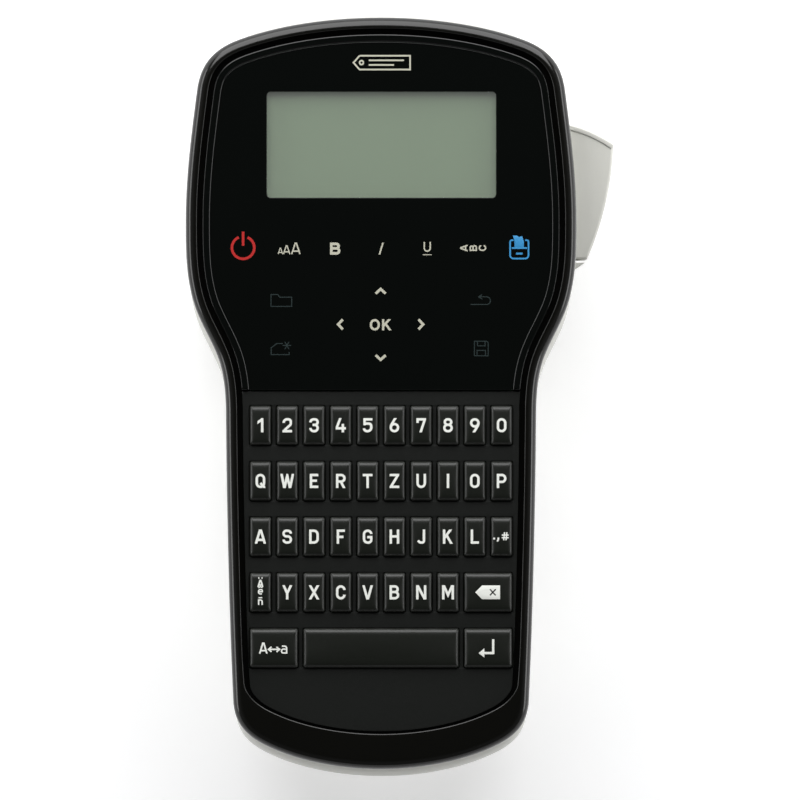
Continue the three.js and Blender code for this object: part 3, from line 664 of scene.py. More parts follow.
# Letters as lines from 0 to 1 between the middles of their outer strokes, rounded by a share of their width.
# Lines that run past 0 or 1 are cut off flush.
STEM, MAST = [(0, -0.3), (0, 1.3)], [(1, -0.3), (1, 1.3)]
GLYPHS = {
    "0": [loop(0, 1, 0, 1, 0.5)],
    "1": [MAST, [(1, 1.0), (-0.6, 0.66)]],
    "2": [[(0, 0.7), (0, 1, 0.5), (1, 1, 0.5), (1, 0.58, 0.4), (0, 0), (1.4, 0)]],
    "3": [[(0, 0.74), (0, 1, 0.5), (1, 1, 0.5), (1, 0.53, 0.4), (0.3, 0.53)],
          [(0.3, 0.53), (1, 0.53, 0.45), (1, 0, 0.5), (0, 0, 0.5), (0, 0.27)]],
    "4": [[(0.55, 1.3), (-0.05, 0.24), (1.4, 0.24)], [(0.76, 0.62), (0.76, -0.3)]],
    "5": [[(1.4, 1), (0.08, 1), (0.08, 0.5)],
          [(0.08, 0.58), (0.3, 0.64, 0.2), (1, 0.64, 0.5), (1, 0, 0.5), (0, 0, 0.5), (0, 0.24)]],
    "6": [[(0.78, 1.25), (0.04, 0.5, 0.6), (0, 0.25)], loop(0, 1, 0, 0.6, 0.5)],
    "7": [[(0, 0.7), (0, 1), (1, 1), (0.3, -0.3)]],
    "8": [loop(0.06, 0.94, 0.54, 1, 0.42), loop(0, 1, 0, 0.54, 0.46)],
    "9": [loop(0, 1, 0.4, 1, 0.5), [(1, 0.75), (0.96, 0.5, 0.6), (0.22, -0.25)]],
    "A": [[(-0.12, -0.3), (0.5, 1.18), (1.12, -0.3)], [(0.15, 0.23), (0.85, 0.23)]],
    "B": [STEM, [(0, 1), (0.94, 1, 0.4), (0.94, 0.53, 0.4), (0, 0.53)],
          [(0, 0.53), (1, 0.53, 0.44), (1, 0, 0.44), (0, 0)]],
    "C": [[(1, 0.7), (1, 1, 0.5), (0, 1, 0.5), (0, 0, 0.5), (1, 0, 0.5), (1, 0.3)]],
    "D": [STEM, [(0, 1), (1, 1, 0.52), (1, 0, 0.52), (0, 0)]],
    "E": [[(1.4, 1), (0, 1), (0, 0), (1.4, 0)], [(0, 0.52), (1.0, 0.52)]],
    "F": [[(1.4, 1), (0, 1), (0, -0.3)], [(0, 0.48), (0.95, 0.48)]],
    "G": [[(1, 0.72), (1, 1, 0.5), (0, 1, 0.5), (0, 0, 0.5), (1, 0, 0.5), (1, 0.46), (0.45, 0.46)]],
    "H": [STEM, MAST, [(0, 0.52), (1, 0.52)]],
    "I": [[(0.5, -0.3), (0.5, 1.3)]],
    "J": [[(1, 1.3), (1, 0, 0.5), (0.3, 0, 0.3), (-0.1, 0.16)]],
    "K": [STEM, [(-0.1, 0.25), (1.06, 1.3)], [(0.34, 0.6), (1.1, -0.3)]],
    "L": [[(0, 1.3), (0, 0), (1.4, 0)]],
    "M": [STEM, MAST, [(-0.1, 1.35), (0.5, 0.28), (1.1, 1.35)]],
    "N": [STEM, MAST, [(-0.1, 1.25), (1.1, -0.25)]],
    "O": [loop(0, 1, 0, 1, 0.5)],
    "P": [STEM, [(0, 1), (1, 1, 0.45), (1, 0.42, 0.45), (0, 0.42)]],
    "Q": [loop(0, 1, 0, 1, 0.5), [(0.5, 0.32), (1.3, -0.2)]],
    "R": [STEM, [(0, 1), (1, 1, 0.45), (1, 0.45, 0.45), (0, 0.45)], [(0.5, 0.45), (1.12, -0.3)]],
    "S": [[(1, 0.75), (1, 1, 0.5), (0, 1, 0.5), (0, 0.53, 0.42),
           (1, 0.51, 0.42), (1, 0, 0.5), (0, 0, 0.5), (0, 0.25)]],
    "T": [[(-0.3, 1), (1.3, 1)], [(0.5, 1), (0.5, -0.3)]],
    "U": [[(0, 1.3), (0, 0, 0.5), (1, 0, 0.5), (1, 1.3)]],
    "V": [[(-0.1, 1.3), (0.5, -0.12), (1.1, 1.3)]],
    "W": [[(-0.06, 1.3), (0.25, -0.12), (0.5, 0.95), (0.75, -0.12), (1.06, 1.3)]],
    "X": [[(-0.16, -0.3), (1.16, 1.3)], [(-0.16, 1.3), (1.16, -0.3)]],
    "Y": [[(-0.12, 1.3), (0.5, 0.42), (1.12, 1.3)], [(0.5, 0.5), (0.5, -0.3)]],
    "Z": [[(-0.3, 1), (1, 1), (0, 0), (1.4, 0)]],
    "a": [[(0.05, 1), (1, 1, 0.4), (1, -0.3)], [(1, 0.56), (0, 0.56, 0.3), (0, 0, 0.3), (1, 0)]],
    "e": [[(0, 0.5), (1, 0.5), (1, 1, 0.45), (0, 1, 0.45), (0, 0, 0.45), (0.9, 0)]],
    "n": [STEM, [(0, 1), (1, 1, 0.45), (1, -0.3)]],
    "#": [[(0.2, -0.3), (0.4, 1.3)], [(0.62, -0.3), (0.82, 1.3)],
          [(-0.3, 0.68), (1.3, 0.68)], [(-0.3, 0.28), (1.3, 0.28)]],
}
PROPORTIONS = {"1": 0.42, "I": 0.3, "J": 0.56, "M": 0.84, "W": 0.95, "L": 0.58, "E": 0.6, "F": 0.58,
               "A": 0.76, "V": 0.74, "X": 0.74, "Y": 0.72, "#": 0.86, "4": 0.72, "T": 0.68, "K": 0.72, "N": 0.72}


def merged_bands(lines, stroke, x0, x1, y0, y1):
    """Bands along lines as one solid, one unit thick, cut off flush at x0, x1, y0 and y1."""
    bands = joined(*[ribbon_mesh(line, stroke) for line in lines])
    clip = bpy.data.meshes.new("clip")
    clip.from_pydata(block_corners(x0, x1, y0, y1, -0.5, 1.5), [], BLOCK_SIDES)
    return boolean(bands, "INTERSECT", clip, overlapping=True)


def letter_mesh(glyph, x, y, z, height, stroke, wide=1.0, depth=PRINT_DEPTH, slant=0.0, turn=0.0):
    """One letter centred at x, y with its face at z."""
    width = PROPORTIONS.get(glyph, 0.68) * height * wide
    if glyph == "I":
        width = stroke
    across, up = max(width - stroke, 1e-6), height - stroke

    def placed(point):
        spot = (stroke / 2 + point[0] * across, stroke / 2 + point[1] * up)
        return spot + (point[2] * across,) if len(point) > 2 else spot

    mesh = merged_bands([[placed(p) for p in line] for line in GLYPHS[glyph]], stroke, 0, width, 0, height)
    centre = Matrix.Translation((-width / 2, -height / 2, -1))
    lean = Matrix(((1, slant, 0, 0), (0, 1, 0, 0), (0, 0, 1, 0), (0, 0, 0, 1)))
    turned = Matrix.Rotation(math.radians(turn), 4, "Z")
    place = Matrix.Translation((x * MM, y * MM, z * MM))
    mesh.transform(place @ turned @ Matrix.Diagonal((MM, MM, depth * MM, 1)) @ lean @ centre)
    return mesh


def bands_mesh(lines, stroke, z, depth=PRINT_DEPTH):
    """Flat bands along lines, merged where they cross, with their face at z."""
    mesh = merged_bands(lines, stroke, -200, 200, -200, 200)
    place, scale = Matrix.Translation((0, 0, z * MM)), Matrix.Diagonal((MM, MM, depth * MM, 1))
    mesh.transform(place @ scale @ Matrix.Translation((0, 0, -1)))
    return mesh


def shifted(points, x, y):
    return [(px + x, py + y) for px, py in points]


FACE_Z = PANEL_TOP - PANEL_SUNK + PRINT_RISE
PAD_ROW_Y = 38.05
PAD_PITCH = 12.03


def make_function_row():
    """The top row of the function pad: power, size, bold, italic, underline, upright text and print."""
    column = [PAD_PITCH * i + 0.05 for i in range(-3, 4)]
    ring = arc(column[0], PAD_ROW_Y, 2.92, 113, 427, 40)
    bar = [(column[0], PAD_ROW_Y + 4.2), (column[0], PAD_ROW_Y + 0.5)]
    printed(bands_mesh([ring, bar], 0.68, FACE_Z), "legend_power", LEGEND_RED)
    base = PAD_ROW_Y - 1.7
    sizes = [(-2.3, 1.66, 0.24), (-0.65, 2.33, 0.3), (1.75, 3.03, 0.36)]
    letters = [letter_mesh("A", column[1] + dx, base + h / 2, FACE_Z, h, s, wide=1.06) for dx, h, s in sizes]
    printed(joined(*letters), "legend_size", LEGEND_BEIGE)
    printed(letter_mesh("B", column[2], PAD_ROW_Y - 0.25, FACE_Z, 3.15, 0.68, wide=1.26), "legend_bold",
            LEGEND_BEIGE)
    printed(letter_mesh("I", column[3], PAD_ROW_Y - 0.25, FACE_Z, 3.1, 0.42, slant=0.3), "legend_italic",
            LEGEND_BEIGE)
    under = [[(column[4] - 1.15, PAD_ROW_Y - 1.85), (column[4] + 1.15, PAD_ROW_Y - 1.85)]]
    letter_u = letter_mesh("U", column[4], PAD_ROW_Y + 0.2, FACE_Z, 2.6, 0.36, wide=1.08)
    printed(joined(letter_u, bands_mesh(under, 0.2, FACE_Z)), "legend_underline", LEGEND_BEIGE)
    upright = [letter_mesh(c, column[5] + dx, PAD_ROW_Y - 0.1, FACE_Z, 1.95, 0.36, wide=1.15, turn=90)
               for c, dx in (("A", -2.45), ("B", 0.0), ("C", 2.4))]
    printed(joined(*upright), "legend_upright_text", LEGEND_BEIGE)
    x, y = column[6], PAD_ROW_Y
    body = [(-1.5, 1.95), (-2.4, 1.95, 0.5), (-2.4, -2.85, 0.9), (2.4, -2.85, 0.9), (2.4, 1.95, 0.5),
            (1.5, 1.95)]
    outline_path = [(p.x + x, p.y + y) for p in path_of(body)]
    lines = bands_mesh([outline_path, [(x - 2.0, y - 0.1), (x + 2.0, y - 0.1)]], 0.42, FACE_Z)
    dash = bands_mesh([[(x - 0.85, y - 1.55), (x + 0.85, y - 1.55)]], 0.5, FACE_Z)
    tape = [(-1.25, 0.12), (1.2, 0.12), (1.2, 1.5), (0.75, 3.0), (-0.1, 2.75), (-0.6, 3.15), (-1.7, 3.15),
            (-1.3, 1.9)]
    sheet = plate_mesh(shifted(tape, x, y), [], FACE_Z - PRINT_DEPTH, FACE_Z, 0.005, 1)
    printed(joined(lines, dash, sheet), "legend_print", LEGEND_BLUE)


def make_pad():
    """The arrows round OK, and the four dim icons beside them."""
    cx, cy, reach_x, reach_y, half, rise = -0.1, 18.0, 10.5, 8.65, 1.3, 1.2
    chevron = [(-half, -rise / 2), (0, rise / 2), (half, -rise / 2)]
    turned = {
        "up": (0, reach_y, chevron),
        "down": (0, -reach_y, [(x, -y) for x, y in chevron]),
        "left": (-reach_x, 0, [(-y, x) for x, y in chevron]),
        "right": (reach_x, 0, [(y, x) for x, y in chevron]),
    }
    for name, (dx, dy, points) in turned.items():
        line = shifted(points, cx + dx, cy + dy)
        printed(bands_mesh([line], 0.66, FACE_Z), f"legend_arrow_{name}", LEGEND_BEIGE)
    letters = [letter_mesh("O", cx - 1.52, cy - 0.1, FACE_Z, 2.95, 0.58, wide=1.3),
               letter_mesh("K", cx + 1.62, cy - 0.1, FACE_Z, 2.9, 0.58, wide=1.2)]
    printed(joined(*letters), "legend_ok", LEGEND_BEIGE)
    folder = [(-2.7, -1.6), (-2.7, 1.5), (-0.9, 1.5), (-0.4, 0.8), (2.7, 0.8), (2.7, -1.6), (-2.7, -1.6)]
    tag = [(0.3, 1.3), (-1.2, 1.3), (-2.7, 0.2), (-2.7, -1.6), (2.0, -1.6), (2.0, -0.9)]
    star = [[(1.4 + ray * math.cos(a), 0.8 + ray * math.sin(a)) for ray in (1.1, -1.1)]
            for a in (0, math.radians(60), math.radians(120))]
    bend = shifted(arc(0, -0.1, 1.0, -75, 75, 8), 1.5, 0)
    back = [(-2.7, -1.1), (1.5, -1.1), *bend, (1.5, 0.9), (-0.5, 0.9)]
    tip = [(0.35, 1.5), (-0.6, 0.9), (0.35, 0.3)]
    disk = [(-1.8, -1.9), (-1.8, 1.9), (1.4, 1.9), (1.8, 1.5), (1.8, -1.9), (-1.8, -1.9)]
    slots = [[(-1.0, 1.9), (-1.0, 0.7), (1.0, 0.7), (1.0, 1.9)],
             [(-1.1, -1.9), (-1.1, -0.5), (1.1, -0.5), (1.1, -1.9)]]
    icons = {
        "open_file": (-26.05, 24.3, [folder]),
        "new_label": (-26.0, 11.7, [tag, *star]),
        "go_back": (26.1, 24.3, [back, tip]),
        "save": (26.2, 11.7, [disk, *slots]),
    }
    for name, (x, y, lines) in icons.items():
        drawn = bands_mesh([shifted(line, x, y) for line in lines], 0.24, FACE_Z)
        printed(drawn, f"legend_{name}", LEGEND_DIM)


def make_emblem():
    """A plain luggage-tag sign above the display."""
    x, y, half, tall = 0.2, 86.4, 7.4, 1.8
    notch = -half + 1.6
    tag = [(notch, tall), (half, tall), (half, -tall), (notch, -tall), (-half, 0), (notch, tall)]
    eye = arc(-half + 2.1, 0, 0.5, 0, 360, 16)
    lines = [tag, eye, [(-3.4, 0.6), (5.8, 0.6)], [(-3.4, -0.6), (3.2, -0.6)]]
    drawn = bands_mesh([shifted(line, x, y) for line in lines], 0.42, FACE_Z)
    printed(drawn, "tag_emblem", LEGEND_BEIGE)


LETTER_HEIGHT = 3.72
LETTER_STROKE = 0.64


def key_legend(node):
    """The mesh printed on one key, or nothing for the space bar."""
    x0, x1, y0, y1 = key_face(node)
    x, y, z = (x0 + x1) / 2, (y0 + y1) / 2 + 0.05, box_mm(node)[1].z + PRINT_RISE
    label = node.removeprefix("key_")

    def letter(glyph, dx, dy, height, stroke, wide=1.0):
        return letter_mesh(glyph, x + dx, y + dy, z, height, stroke, wide, KEY_PRINT_DEPTH)

    def bands(stroke, *lines):
        return bands_mesh([shifted(line, x, y) for line in lines], stroke, z, KEY_PRINT_DEPTH)

    if len(label) == 1:
        return letter(label, 0, 0, LETTER_HEIGHT, LETTER_STROKE)
    if label == "symbol":
        dot = bands(0.5, [(-1.95, -0.75), (-1.95, -0.25)])
        comma = bands(0.46, [(-0.85, -0.25), (-0.85, -0.7), (-1.15, -1.25)])
        return joined(dot, comma, letter("#", 0.95, 0.1, 2.1, 0.34))
    if label == "accent":
        dots = [[(dx, 3.55), (dx, 3.95)] for dx in (-0.42, 0.42)]
        hat, wave = [(-0.5, 1.15), (0, 1.55), (0.5, 1.15)], [(-0.5, -1.4), (0.5, -1.4)]
        marks = [bands(0.3, line) for line in (*dots, hat, wave)]
        return joined(letter("A", 0, 2.35, 1.95, 0.4, 1.05), letter("e", 0, 0.15, 1.45, 0.34, 1.35),
                      letter("n", 0, -2.55, 1.45, 0.36, 1.3), *marks)
    if label == "caps":
        arrow = bands(0.38, [(-1.2, -0.35), (1.3, -0.35)], [(-0.6, 0.3), (-1.4, -0.35), (-0.6, -1.0)],
                      [(0.7, 0.3), (1.5, -0.35), (0.7, -1.0)])
        return joined(letter("A", -2.75, 0, 2.9, 0.42), letter("a", 2.7, -0.4, 2.15, 0.38, 1.15), arrow)
    if label == "return":
        shaft = bands(0.6, [(1.3, 2.3), (1.3, -1.3), (-1.5, -1.3)])
        head = shifted([(-2.5, -1.3), (-1.0, -0.1), (-1.0, -2.5)], x, y)
        return joined(shaft, plate_mesh(head, [], z - KEY_PRINT_DEPTH, z - 0.004, 0.01, 1))
    if label == "backspace":
        tag = shifted([(-3.4, 0), (-1.6, 1.8), (3.1, 1.8), (3.1, -1.8), (-1.6, -1.8)], x, y)
        plain = plate_mesh(tag[::-1], [], z - KEY_PRINT_DEPTH, z, 0.02, 1)
        cross = [shifted([(0.45, side * 0.8), (1.95, side * -0.8)], x, y) for side in (1, -1)]
        return cut(plain, bands_mesh(cross, 0.34, z + 0.3, 0.8))
    return None


def make_key_legends():
    for node in KEY_NODES:
        mesh = key_legend(node)
        if mesh:
            printed(mesh, f"print_on_{node}", LEGEND_WHITE, node)


# ---- Back -------------------------------------------------------------------------------------------
CROWN_RISE_Y, CROWN_RISE, CROWN_RUN = 88.0, 6.0, 24.0
TAIL_RISE_Y, TAIL_RISE, TAIL_RUN = -84.0, 9.0, 22.0


def back_surface(y):
    """Height of the back at y: flat under the head, an S-curve up to the grip, and rounded ends."""
    if y > CROWN_RISE_Y:
        return CROWN_RISE * smooth((y - CROWN_RISE_Y) / CROWN_RUN)
    if y > HEAD_BACK_END_Y:
        return 0.0
    if y > GRIP_BACK_START_Y:
        return GRIP_BACK_Z * smooth((HEAD_BACK_END_Y - y) / (HEAD_BACK_END_Y - GRIP_BACK_START_Y))
    return GRIP_BACK_Z + TAIL_RISE * smooth((TAIL_RISE_Y - y) / TAIL_RUN)


def back_rings(margin, top, skin):
    """Rings of the back shell from its seam down: inset, shape of the outline, and height at a given y."""
    edge = max(0.6, BACK_EDGE - margin * 0.6)
    swell = [(top, 0.15), (top - 0.9, 0.5), (top - 2.2, 0.82), (top - 4.4, 1.0), (top - 8.0, 1.0)]
    rings = [(margin, amount, lambda y, z=z: z) for z, amount in swell]
    rings.append((margin, 1.0, lambda y: max(14.6, back_surface(y) + skin + edge + 2.0)))
    rings.append((margin, 1.0, lambda y: max(13.0, back_surface(y) + skin + edge + 0.4)))
    for degrees in range(0, 91, 15):
        a = math.radians(degrees)
        inset, lift = margin + edge * (1 - math.cos(a)), edge * (1 - math.sin(a))
        rings.append((inset, 1.0, lambda y, lift=lift: back_surface(y) + skin + lift))
    return rings


def back_solid(margin, top, skin):
    """The back shell as one solid, moved inwards by margin, its back surface raised by skin."""
    rings = back_rings(margin, top, skin)
    verts = []
    for i, (inset, amount, height) in enumerate(rings):
        crown = (OVERHANG - SHELL_GAP) * amount if i < 6 else 0.0
        half = half_outline(inset, drop=SHOULDER_DROP * amount, tail=OVERHANG * amount, crown=crown)
        verts += [(x, y, height(y)) for x, y in half + [(-x, y) for x, y in reversed(half[1:-1])]]
    side = len(half)
    count = 2 * side - 2
    faces = [(a, d, c, b) for a, b, c, d in wall_faces(len(rings), count)]
    for start, flip in ((0, False), ((len(rings) - 1) * count, True)):
        for k in range(side - 1):
            left, left_below = start + (count - k) % count, start + count - k - 1
            face = list(dict.fromkeys([start + k, start + k + 1, left_below, left]))
            faces.append(tuple(reversed(face)) if flip else tuple(face))
    return raw_mesh(verts, faces)


def back_shells():
    """The back shell as a solid, and the room inside it."""
    return back_solid(SHELL_GAP, SPLIT_Z - 0.2, 0.0), back_solid(SHELL_GAP + WALL, SPLIT_Z + 5, WALL)


def door_ring(margin):
    low, high = box_mm("cassette_door")
    return rounded_rect(low.x - margin, high.x + margin, low.y - margin, high.y + margin, 11, 12)


BAY = (-41, 37, 12, 87)
BAY_CEILING, BAY_WALL = 26.0, 1.6
DOOR_BARREL = (25.0, 74.0)
LEVER_X, LEVER_Y, LEVER_RADIUS = 42.0, 38.0, 33.0
LEVER_LOW, LEVER_HIGH = box_mm("cutter_lever")
COVER_HALF, COVER_TOP, COVER_GAP = 30.0, 27.0, 0.25
FAR = 120.0  # beyond the end of the part
PACK_LOW, PACK_HIGH = box_mm("battery_pack")
TAPE_X = 26.0
SCREWS = [(-31.0, -5.0), (31.0, -5.0), (-34.0, -49.5), (34.0, -49.5)]


def make_back_housing():
    """The silver back shell, hollow, with its bays, doorway, lever well, tape exit and screw holes."""
    outer, inside = back_shells()
    fairing = plate_mesh([(47, 34.6), (47, 31), (50.6, 32.2), (54, 34.6)], [], 16, 44, 0.5, 3)
    outer = boolean(outer, "UNION", fairing)
    x0, x1, y0, y1 = BAY
    wall = BAY_WALL
    bay_box = block(x0 - wall, x1 + wall, y0 - wall, y1 + wall, -1, BAY_CEILING + wall)
    side = COVER_HALF + 4.0
    cells = block(-side, side, -FAR, PACK_HIGH.y + WALL, -1, PACK_HIGH.z + 2)
    post = drum(LEVER_X, LEVER_Y, 3.3, 0.5, LEVER_LOW.z - 0.3)
    pack_room = block(PACK_LOW.x - 0.8, PACK_HIGH.x + 0.8, -96.5, PACK_HIGH.y + 0.8, GRIP_BACK_Z + WALL,
                      PACK_HIGH.z + 0.5)
    shell = cut(outer, cut(inside, bay_box, cells, post), block(x0, x1, y0, y1, 2.4, BAY_CEILING), pack_room)
    hinge_x = box_mm("cassette_door")[0].x + 1.2
    doorway = plate_mesh(door_ring(0.3), [], -3, 2.7, 0.02, 1)
    barrel_y0, barrel_y1 = DOOR_BARREL
    doorway = cut(doorway, block(-60, hinge_x + 1.6, -10, barrel_y0 - 0.4, -5, 5),
                  block(-60, hinge_x + 1.6, barrel_y1 + 0.4, FAR, -5, 5))
    cover_y = box_mm("battery_cover")[1].y
    coverway = block(-COVER_HALF - COVER_GAP, COVER_HALF + COVER_GAP, -FAR, cover_y + COVER_GAP, -5,
                     COVER_TOP + COVER_GAP)
    well = boolean(drum(LEVER_X, LEVER_Y, LEVER_RADIUS + 0.6, LEVER_LOW.z - 0.5, LEVER_HIGH.z + 0.5, 128),
                   "INTERSECT", block(x1 + wall, 90, LEVER_Y - 3.6, FAR, 0, 60))
    exit_slot = block(TAPE_X - 1.6, TAPE_X + 1.6, y1 - 1, FAR, 5.8, 21.2)
    windows = [block(x1 - 1, x1 + wall + 1, 79.2, 86.8, 4.6, 24.6),
               block(x1 - 1, x1 + wall + 1, 53, 86.8, 16.6, 23)]
    tongue_z = GRIP_BACK_Z + WALL
    tongueway = block(-COVER_HALF - 2.0, COVER_HALF + 2.0, -FAR, -52, tongue_z, tongue_z + 2.0)
    shell = cut(shell, doorway, coverway, tongueway, well, exit_slot, *windows)
    for x, y in SCREWS:
        z = back_surface(y)
        shell = cut(shell, drum(x, y, 2.7, z - 3, z + 1.6, 40))
    finished(shell, "back_shell", SILVER, "housing", ["back_housing"], sharp=28.0)
    post_pin = drum(LEVER_X, LEVER_Y, 1.9, 1.0, LEVER_HIGH.z + 1.2)
    finished(post_pin, "lever_post", SILVER, "housing")


def make_door():
    """The cassette door: a plate with a finger grip, its hinge barrel and pins, and the latch."""
    low, high = box_mm("cassette_door")
    axis_x, axis_z, thick = low.x + 1.2, 1.2, 2.4
    y0, y1 = DOOR_BARREL
    plate = plate_mesh(door_ring(0), [], 0, thick, 0.4, 4)
    plate = cut(plate, block(-60, axis_x, -10, FAR, -5, 5), block(-60, axis_x + 2.4, -10, y0, -5, 5),
                block(-60, axis_x + 2.4, y1, FAR, -5, 5))
    barrel = spindle(axis_x, axis_z, 1.2, y0, y1)
    pins = spindle(axis_x, axis_z, 0.6, y0 - 2.2, y1 + 2.2, 20)
    latch = block(34.4, 36, 44, 55, thick - 0.5, high.z)
    body = boolean(plate, "UNION", barrel, pins, latch)
    # ridges for the thumb, in a shallow dish beside the latch
    dish = plate_mesh(rounded_rect(25.5, 35.5, 40.5, 58.5, 2.5), [], -1.0, 0.35, 0.1, 2)
    body = cut(body, dish)
    finished(body, "door_plate", SILVER_COVER, "cassette_door", ["cassette_door"])
    for i in range(4):
        x = 27.4 + i * 2
        ridge = plate_mesh(rounded_rect(x - 0.4, x + 0.4, 42, 57, 0.38), [], 0.02, 0.6, 0.1, 2)
        finished(ridge, f"door_grip_ridge_{i + 1}", SILVER_COVER, "cassette_door")


def make_cover():
    """The battery cover: the end of the grip's back, with ribs to push it by."""
    top_y = box_mm("battery_cover")[1].y
    skin = cut(*back_shells())
    skin = boolean(skin, "INTERSECT", block(-COVER_HALF, COVER_HALF, -FAR, top_y, -5, COVER_TOP))
    grooves = [plate_mesh(rounded_rect(-11, 11, -67.2 - i * 2.6, -66.0 - i * 2.6, 0.55, 4), [], 10.0,
                          GRIP_BACK_Z + 0.6, 0.1, 1) for i in range(5)]
    skin = cut(skin, *grooves)
    root, reach, z = PACK_HIGH.x + 0.9, COVER_HALF + 1.6, GRIP_BACK_Z + WALL + 0.3
    tongues = [block(x0, x1, -78, -54, z - 0.6, z + 1.2) for x0, x1 in ((root, reach), (-reach, -root))]
    finished(boolean(skin, "UNION", *tongues), "battery_cover_skin", SILVER_COVER, "battery_cover",
             ["battery_cover"], sharp=28.0)


def make_screws():
    """Cross-head screws at the bottom of their holes."""
    for i, (x, y) in enumerate(SCREWS, start=1):
        z = back_surface(y) + 1.5
        head = drum(x, y, 2.2, z - 0.9, z, 40, top=2.35)
        slots = [block(x - 1.3, x + 1.3, y - 0.28, y + 0.28, z - 2, z - 0.35),
                 block(x - 0.28, x + 0.28, y - 1.3, y + 1.3, z - 2, z - 0.35)]
        finished(cut(head, *slots), f"case_screw_{i}", SCREW, "housing")


def make_rating_label():
    """A blank label on the flat back between the door and the grip."""
    label = plate_mesh(rounded_rect(-22, 22, -9.0, 7.0, 1.2), [], -0.06, 0.05, 0.02, 1)
    finished(label, "blank_rating_label", LABEL, "housing")


# ---- Cutter lever -----------------------------------------------------------------------------------
LEVER_TIP = math.degrees(math.atan2(64.9 - LEVER_Y, 61.0 - LEVER_X))
LEVER_HEEL = math.degrees(math.atan2(70.5 - LEVER_Y, 47.6 - LEVER_X))


def lever_ring():
    """The lever seen from the front."""
    start = Vector((54.2, 35.3))
    end = Vector(arc(LEVER_X, LEVER_Y, LEVER_RADIUS, LEVER_TIP, LEVER_TIP, 1)[0])
    edge = [(cubic(start.x, 58.4, 60.7, end.x, t), cubic(start.y, 45, 55, end.y, t))
            for t in [i / 20 for i in range(20)]]
    crown = arc(LEVER_X, LEVER_Y, LEVER_RADIUS, LEVER_TIP, LEVER_HEEL, 24)
    hub = arc(LEVER_X, LEVER_Y, 3.1, 108, 270, 20)
    return [(50, 35.2), *edge, *crown, *hub]


def make_lever():
    """The silver cutter lever with the finger that pushes the blade."""
    low, high = LEVER_LOW.z, LEVER_HIGH.z
    paddle = plate_mesh(lever_ring(), [], low, high, 0.75, 5)
    tip = block(42.7, 44.1, 60, LEVER_HIGH.y, 17.2, 22.4)
    arm = block(42.7, 45.4, 47, 70, 17.2, 22.4)
    body = cut(boolean(paddle, "UNION", arm, tip), drum(LEVER_X, LEVER_Y, 2.1, 0, 60))
    finished(body, "lever_paddle", SILVER_LEVER, "cutter_lever", ["cutter_lever"])
    outer = arc(LEVER_X, LEVER_Y, LEVER_RADIUS + 0.42, LEVER_TIP + 0.2, LEVER_TIP + 22, 20)
    inner = arc(LEVER_X, LEVER_Y, LEVER_RADIUS - 0.9, LEVER_TIP + 22, LEVER_TIP + 0.2, 20)
    lip = plate_mesh([*outer, *inner], [], high - 3.0, high + 0.3, 0.3, 4)
    finished(lip, "lever_lip", SILVER_LEVER, "cutter_lever")


# ---- Carried-over CAD nodes -------------------------------------------------------------------------
INNER = {
    "key_mat": MAT_RUBBER,
    "main_board": BOARD,
    "battery_pack": PACK,
    "cutter_blade": STEEL,
    "tape_cassette": CASSETTE,
    "tape_roll": TAPE,
    "print_head": SINK,
    "platen_roller": ROLLER,
    "drive_pinion": surface("pinion_acetal", srgb(214, 208, 190), 0.42, grain=0.15, grain_scale=1500.0),
    "drive_motor": CAN,
}


def dress_inner_nodes():
    """Gives the CAD nodes that stay their material and softened edges."""
    for node, material in INNER.items():
        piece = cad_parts[node]
        piece.data.materials.clear()
        piece.data.materials.append(material)
        edges = piece.modifiers.new("soft_edges", "BEVEL")
        edges.width = 0.15 * MM
        edges.segments = 2
        edges.limit_method = "ANGLE"
        edges.angle_limit = math.radians(40)
        normals = piece.modifiers.new("face_weighted", "WEIGHTED_NORMAL")
        normals.keep_sharp = True


# ---- Studio -----------------------------------------------------------------------------------------
def make_floor():
    mesh = bpy.data.meshes.new("floor")
    half = 3.0
    corners = [(-half, -half, 0), (half, -half, 0), (half, half, 0), (-half, half, 0)]
    mesh.from_pydata(corners, [], [(0, 1, 2, 3)])
    table_top = surface("light_table", (0.90, 0.90, 0.91, 1.0), 0.8, vary=0.01)
    shader = table_top.node_tree.nodes["Principled BSDF"]
    shader.inputs["Emission Color"].default_value = (1.0, 1.0, 1.0, 1.0)
    shader.inputs["Emission Strength"].default_value = 0.3
    mesh.materials.append(table_top)
    floor = linked("floor", mesh)
    floor.location.z = cad_box[0][2] - 0.0002


def softbox(name, place, width, height, power):
    """A rectangular light that faces the middle of the object."""
    data = bpy.data.lights.new(name, "AREA")
    data.shape = "RECTANGLE"
    data.size, data.size_y, data.energy = width, height, power
    lamp = linked(name, data)
    lamp.location = place
    lamp.rotation_euler = (Vector((0, 0, 0.03)) - Vector(place)).to_track_quat("-Z", "Y").to_euler()


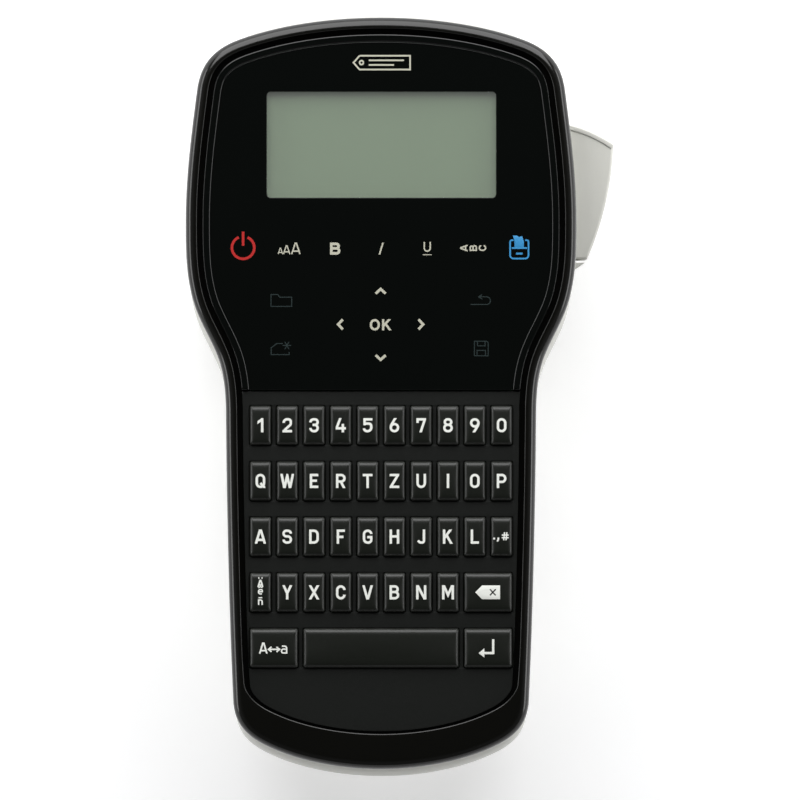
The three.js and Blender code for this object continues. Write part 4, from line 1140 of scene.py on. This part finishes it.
def make_world():
    """A light tent: bright to the sides, dark straight up where the camera looks in."""
    world = bpy.data.worlds.new("tent")
    bpy.context.scene.world = world
    world.use_nodes = True
    nodes, links = world.node_tree.nodes, world.node_tree.links
    place = nodes.new("ShaderNodeTexCoord")
    split = nodes.new("ShaderNodeSeparateXYZ")
    links.new(place.outputs["Generated"], split.inputs["Vector"])
    ramp = nodes.new("ShaderNodeValToRGB")
    levels = [(0.0, 0.5), (0.06, 1.0), (0.2, 1.0), (0.3, 0.12), (0.75, 0.1), (0.97, 0.008)]
    for position, level in levels:
        stop = ramp.color_ramp.elements.new(position)
        stop.color = (level, level, level, 1.0)
    ramp.color_ramp.elements.remove(ramp.color_ramp.elements[-1])
    links.new(split.outputs["Z"], ramp.inputs["Fac"])
    # the side towards the tail is dimmer
    tilt = nodes.new("ShaderNodeMapRange")
    tilt.inputs["From Min"].default_value = -1.0
    tilt.inputs["To Min"].default_value = 0.4
    links.new(split.outputs["Y"], tilt.inputs["Value"])
    dimmed = nodes.new("ShaderNodeMix")
    dimmed.data_type = "RGBA"
    dimmed.blend_type = "MULTIPLY"
    dimmed.inputs["Factor"].default_value = 1.0
    links.new(ramp.outputs["Color"], dimmed.inputs["A"])
    links.new(tilt.outputs["Result"], dimmed.inputs["B"])
    links.new(dimmed.outputs["Result"], nodes["Background"].inputs["Color"])
    nodes["Background"].inputs["Strength"].default_value = 2.2


def make_camera():
    """Straight above, far enough away that the sides are barely seen."""
    distance, width = 2.5, 0.209
    data = bpy.data.cameras.new("camera")
    data.sensor_width = 36.0
    data.lens = data.sensor_width * distance / width
    camera = linked("camera", data)
    camera.location = (0.00496, -0.00176, RIM_TOP * MM + distance)
    bpy.context.scene.camera = camera
    bpy.context.scene.view_settings.view_transform = "Standard"


make_camera()
make_world()
softbox("top_light", (0.0, 0.80, 0.66), 1.5, 0.95, 17.0)
softbox("left_light", (-0.95, 0.1, 0.36), 0.9, 0.26, 2.6)
softbox("right_light", (0.95, 0.1, 0.36), 0.9, 0.26, 2.6)
make_floor()
make_front_housing()
make_panel()
make_display()
make_deck()
for key in KEY_NODES:
    make_key(key)
make_function_row()
make_pad()
make_emblem()
make_key_legends()
make_back_housing()
make_door()
make_cover()
make_screws()
make_rating_label()
make_lever()
dress_inner_nodes()

bpy.context.view_layer.update()
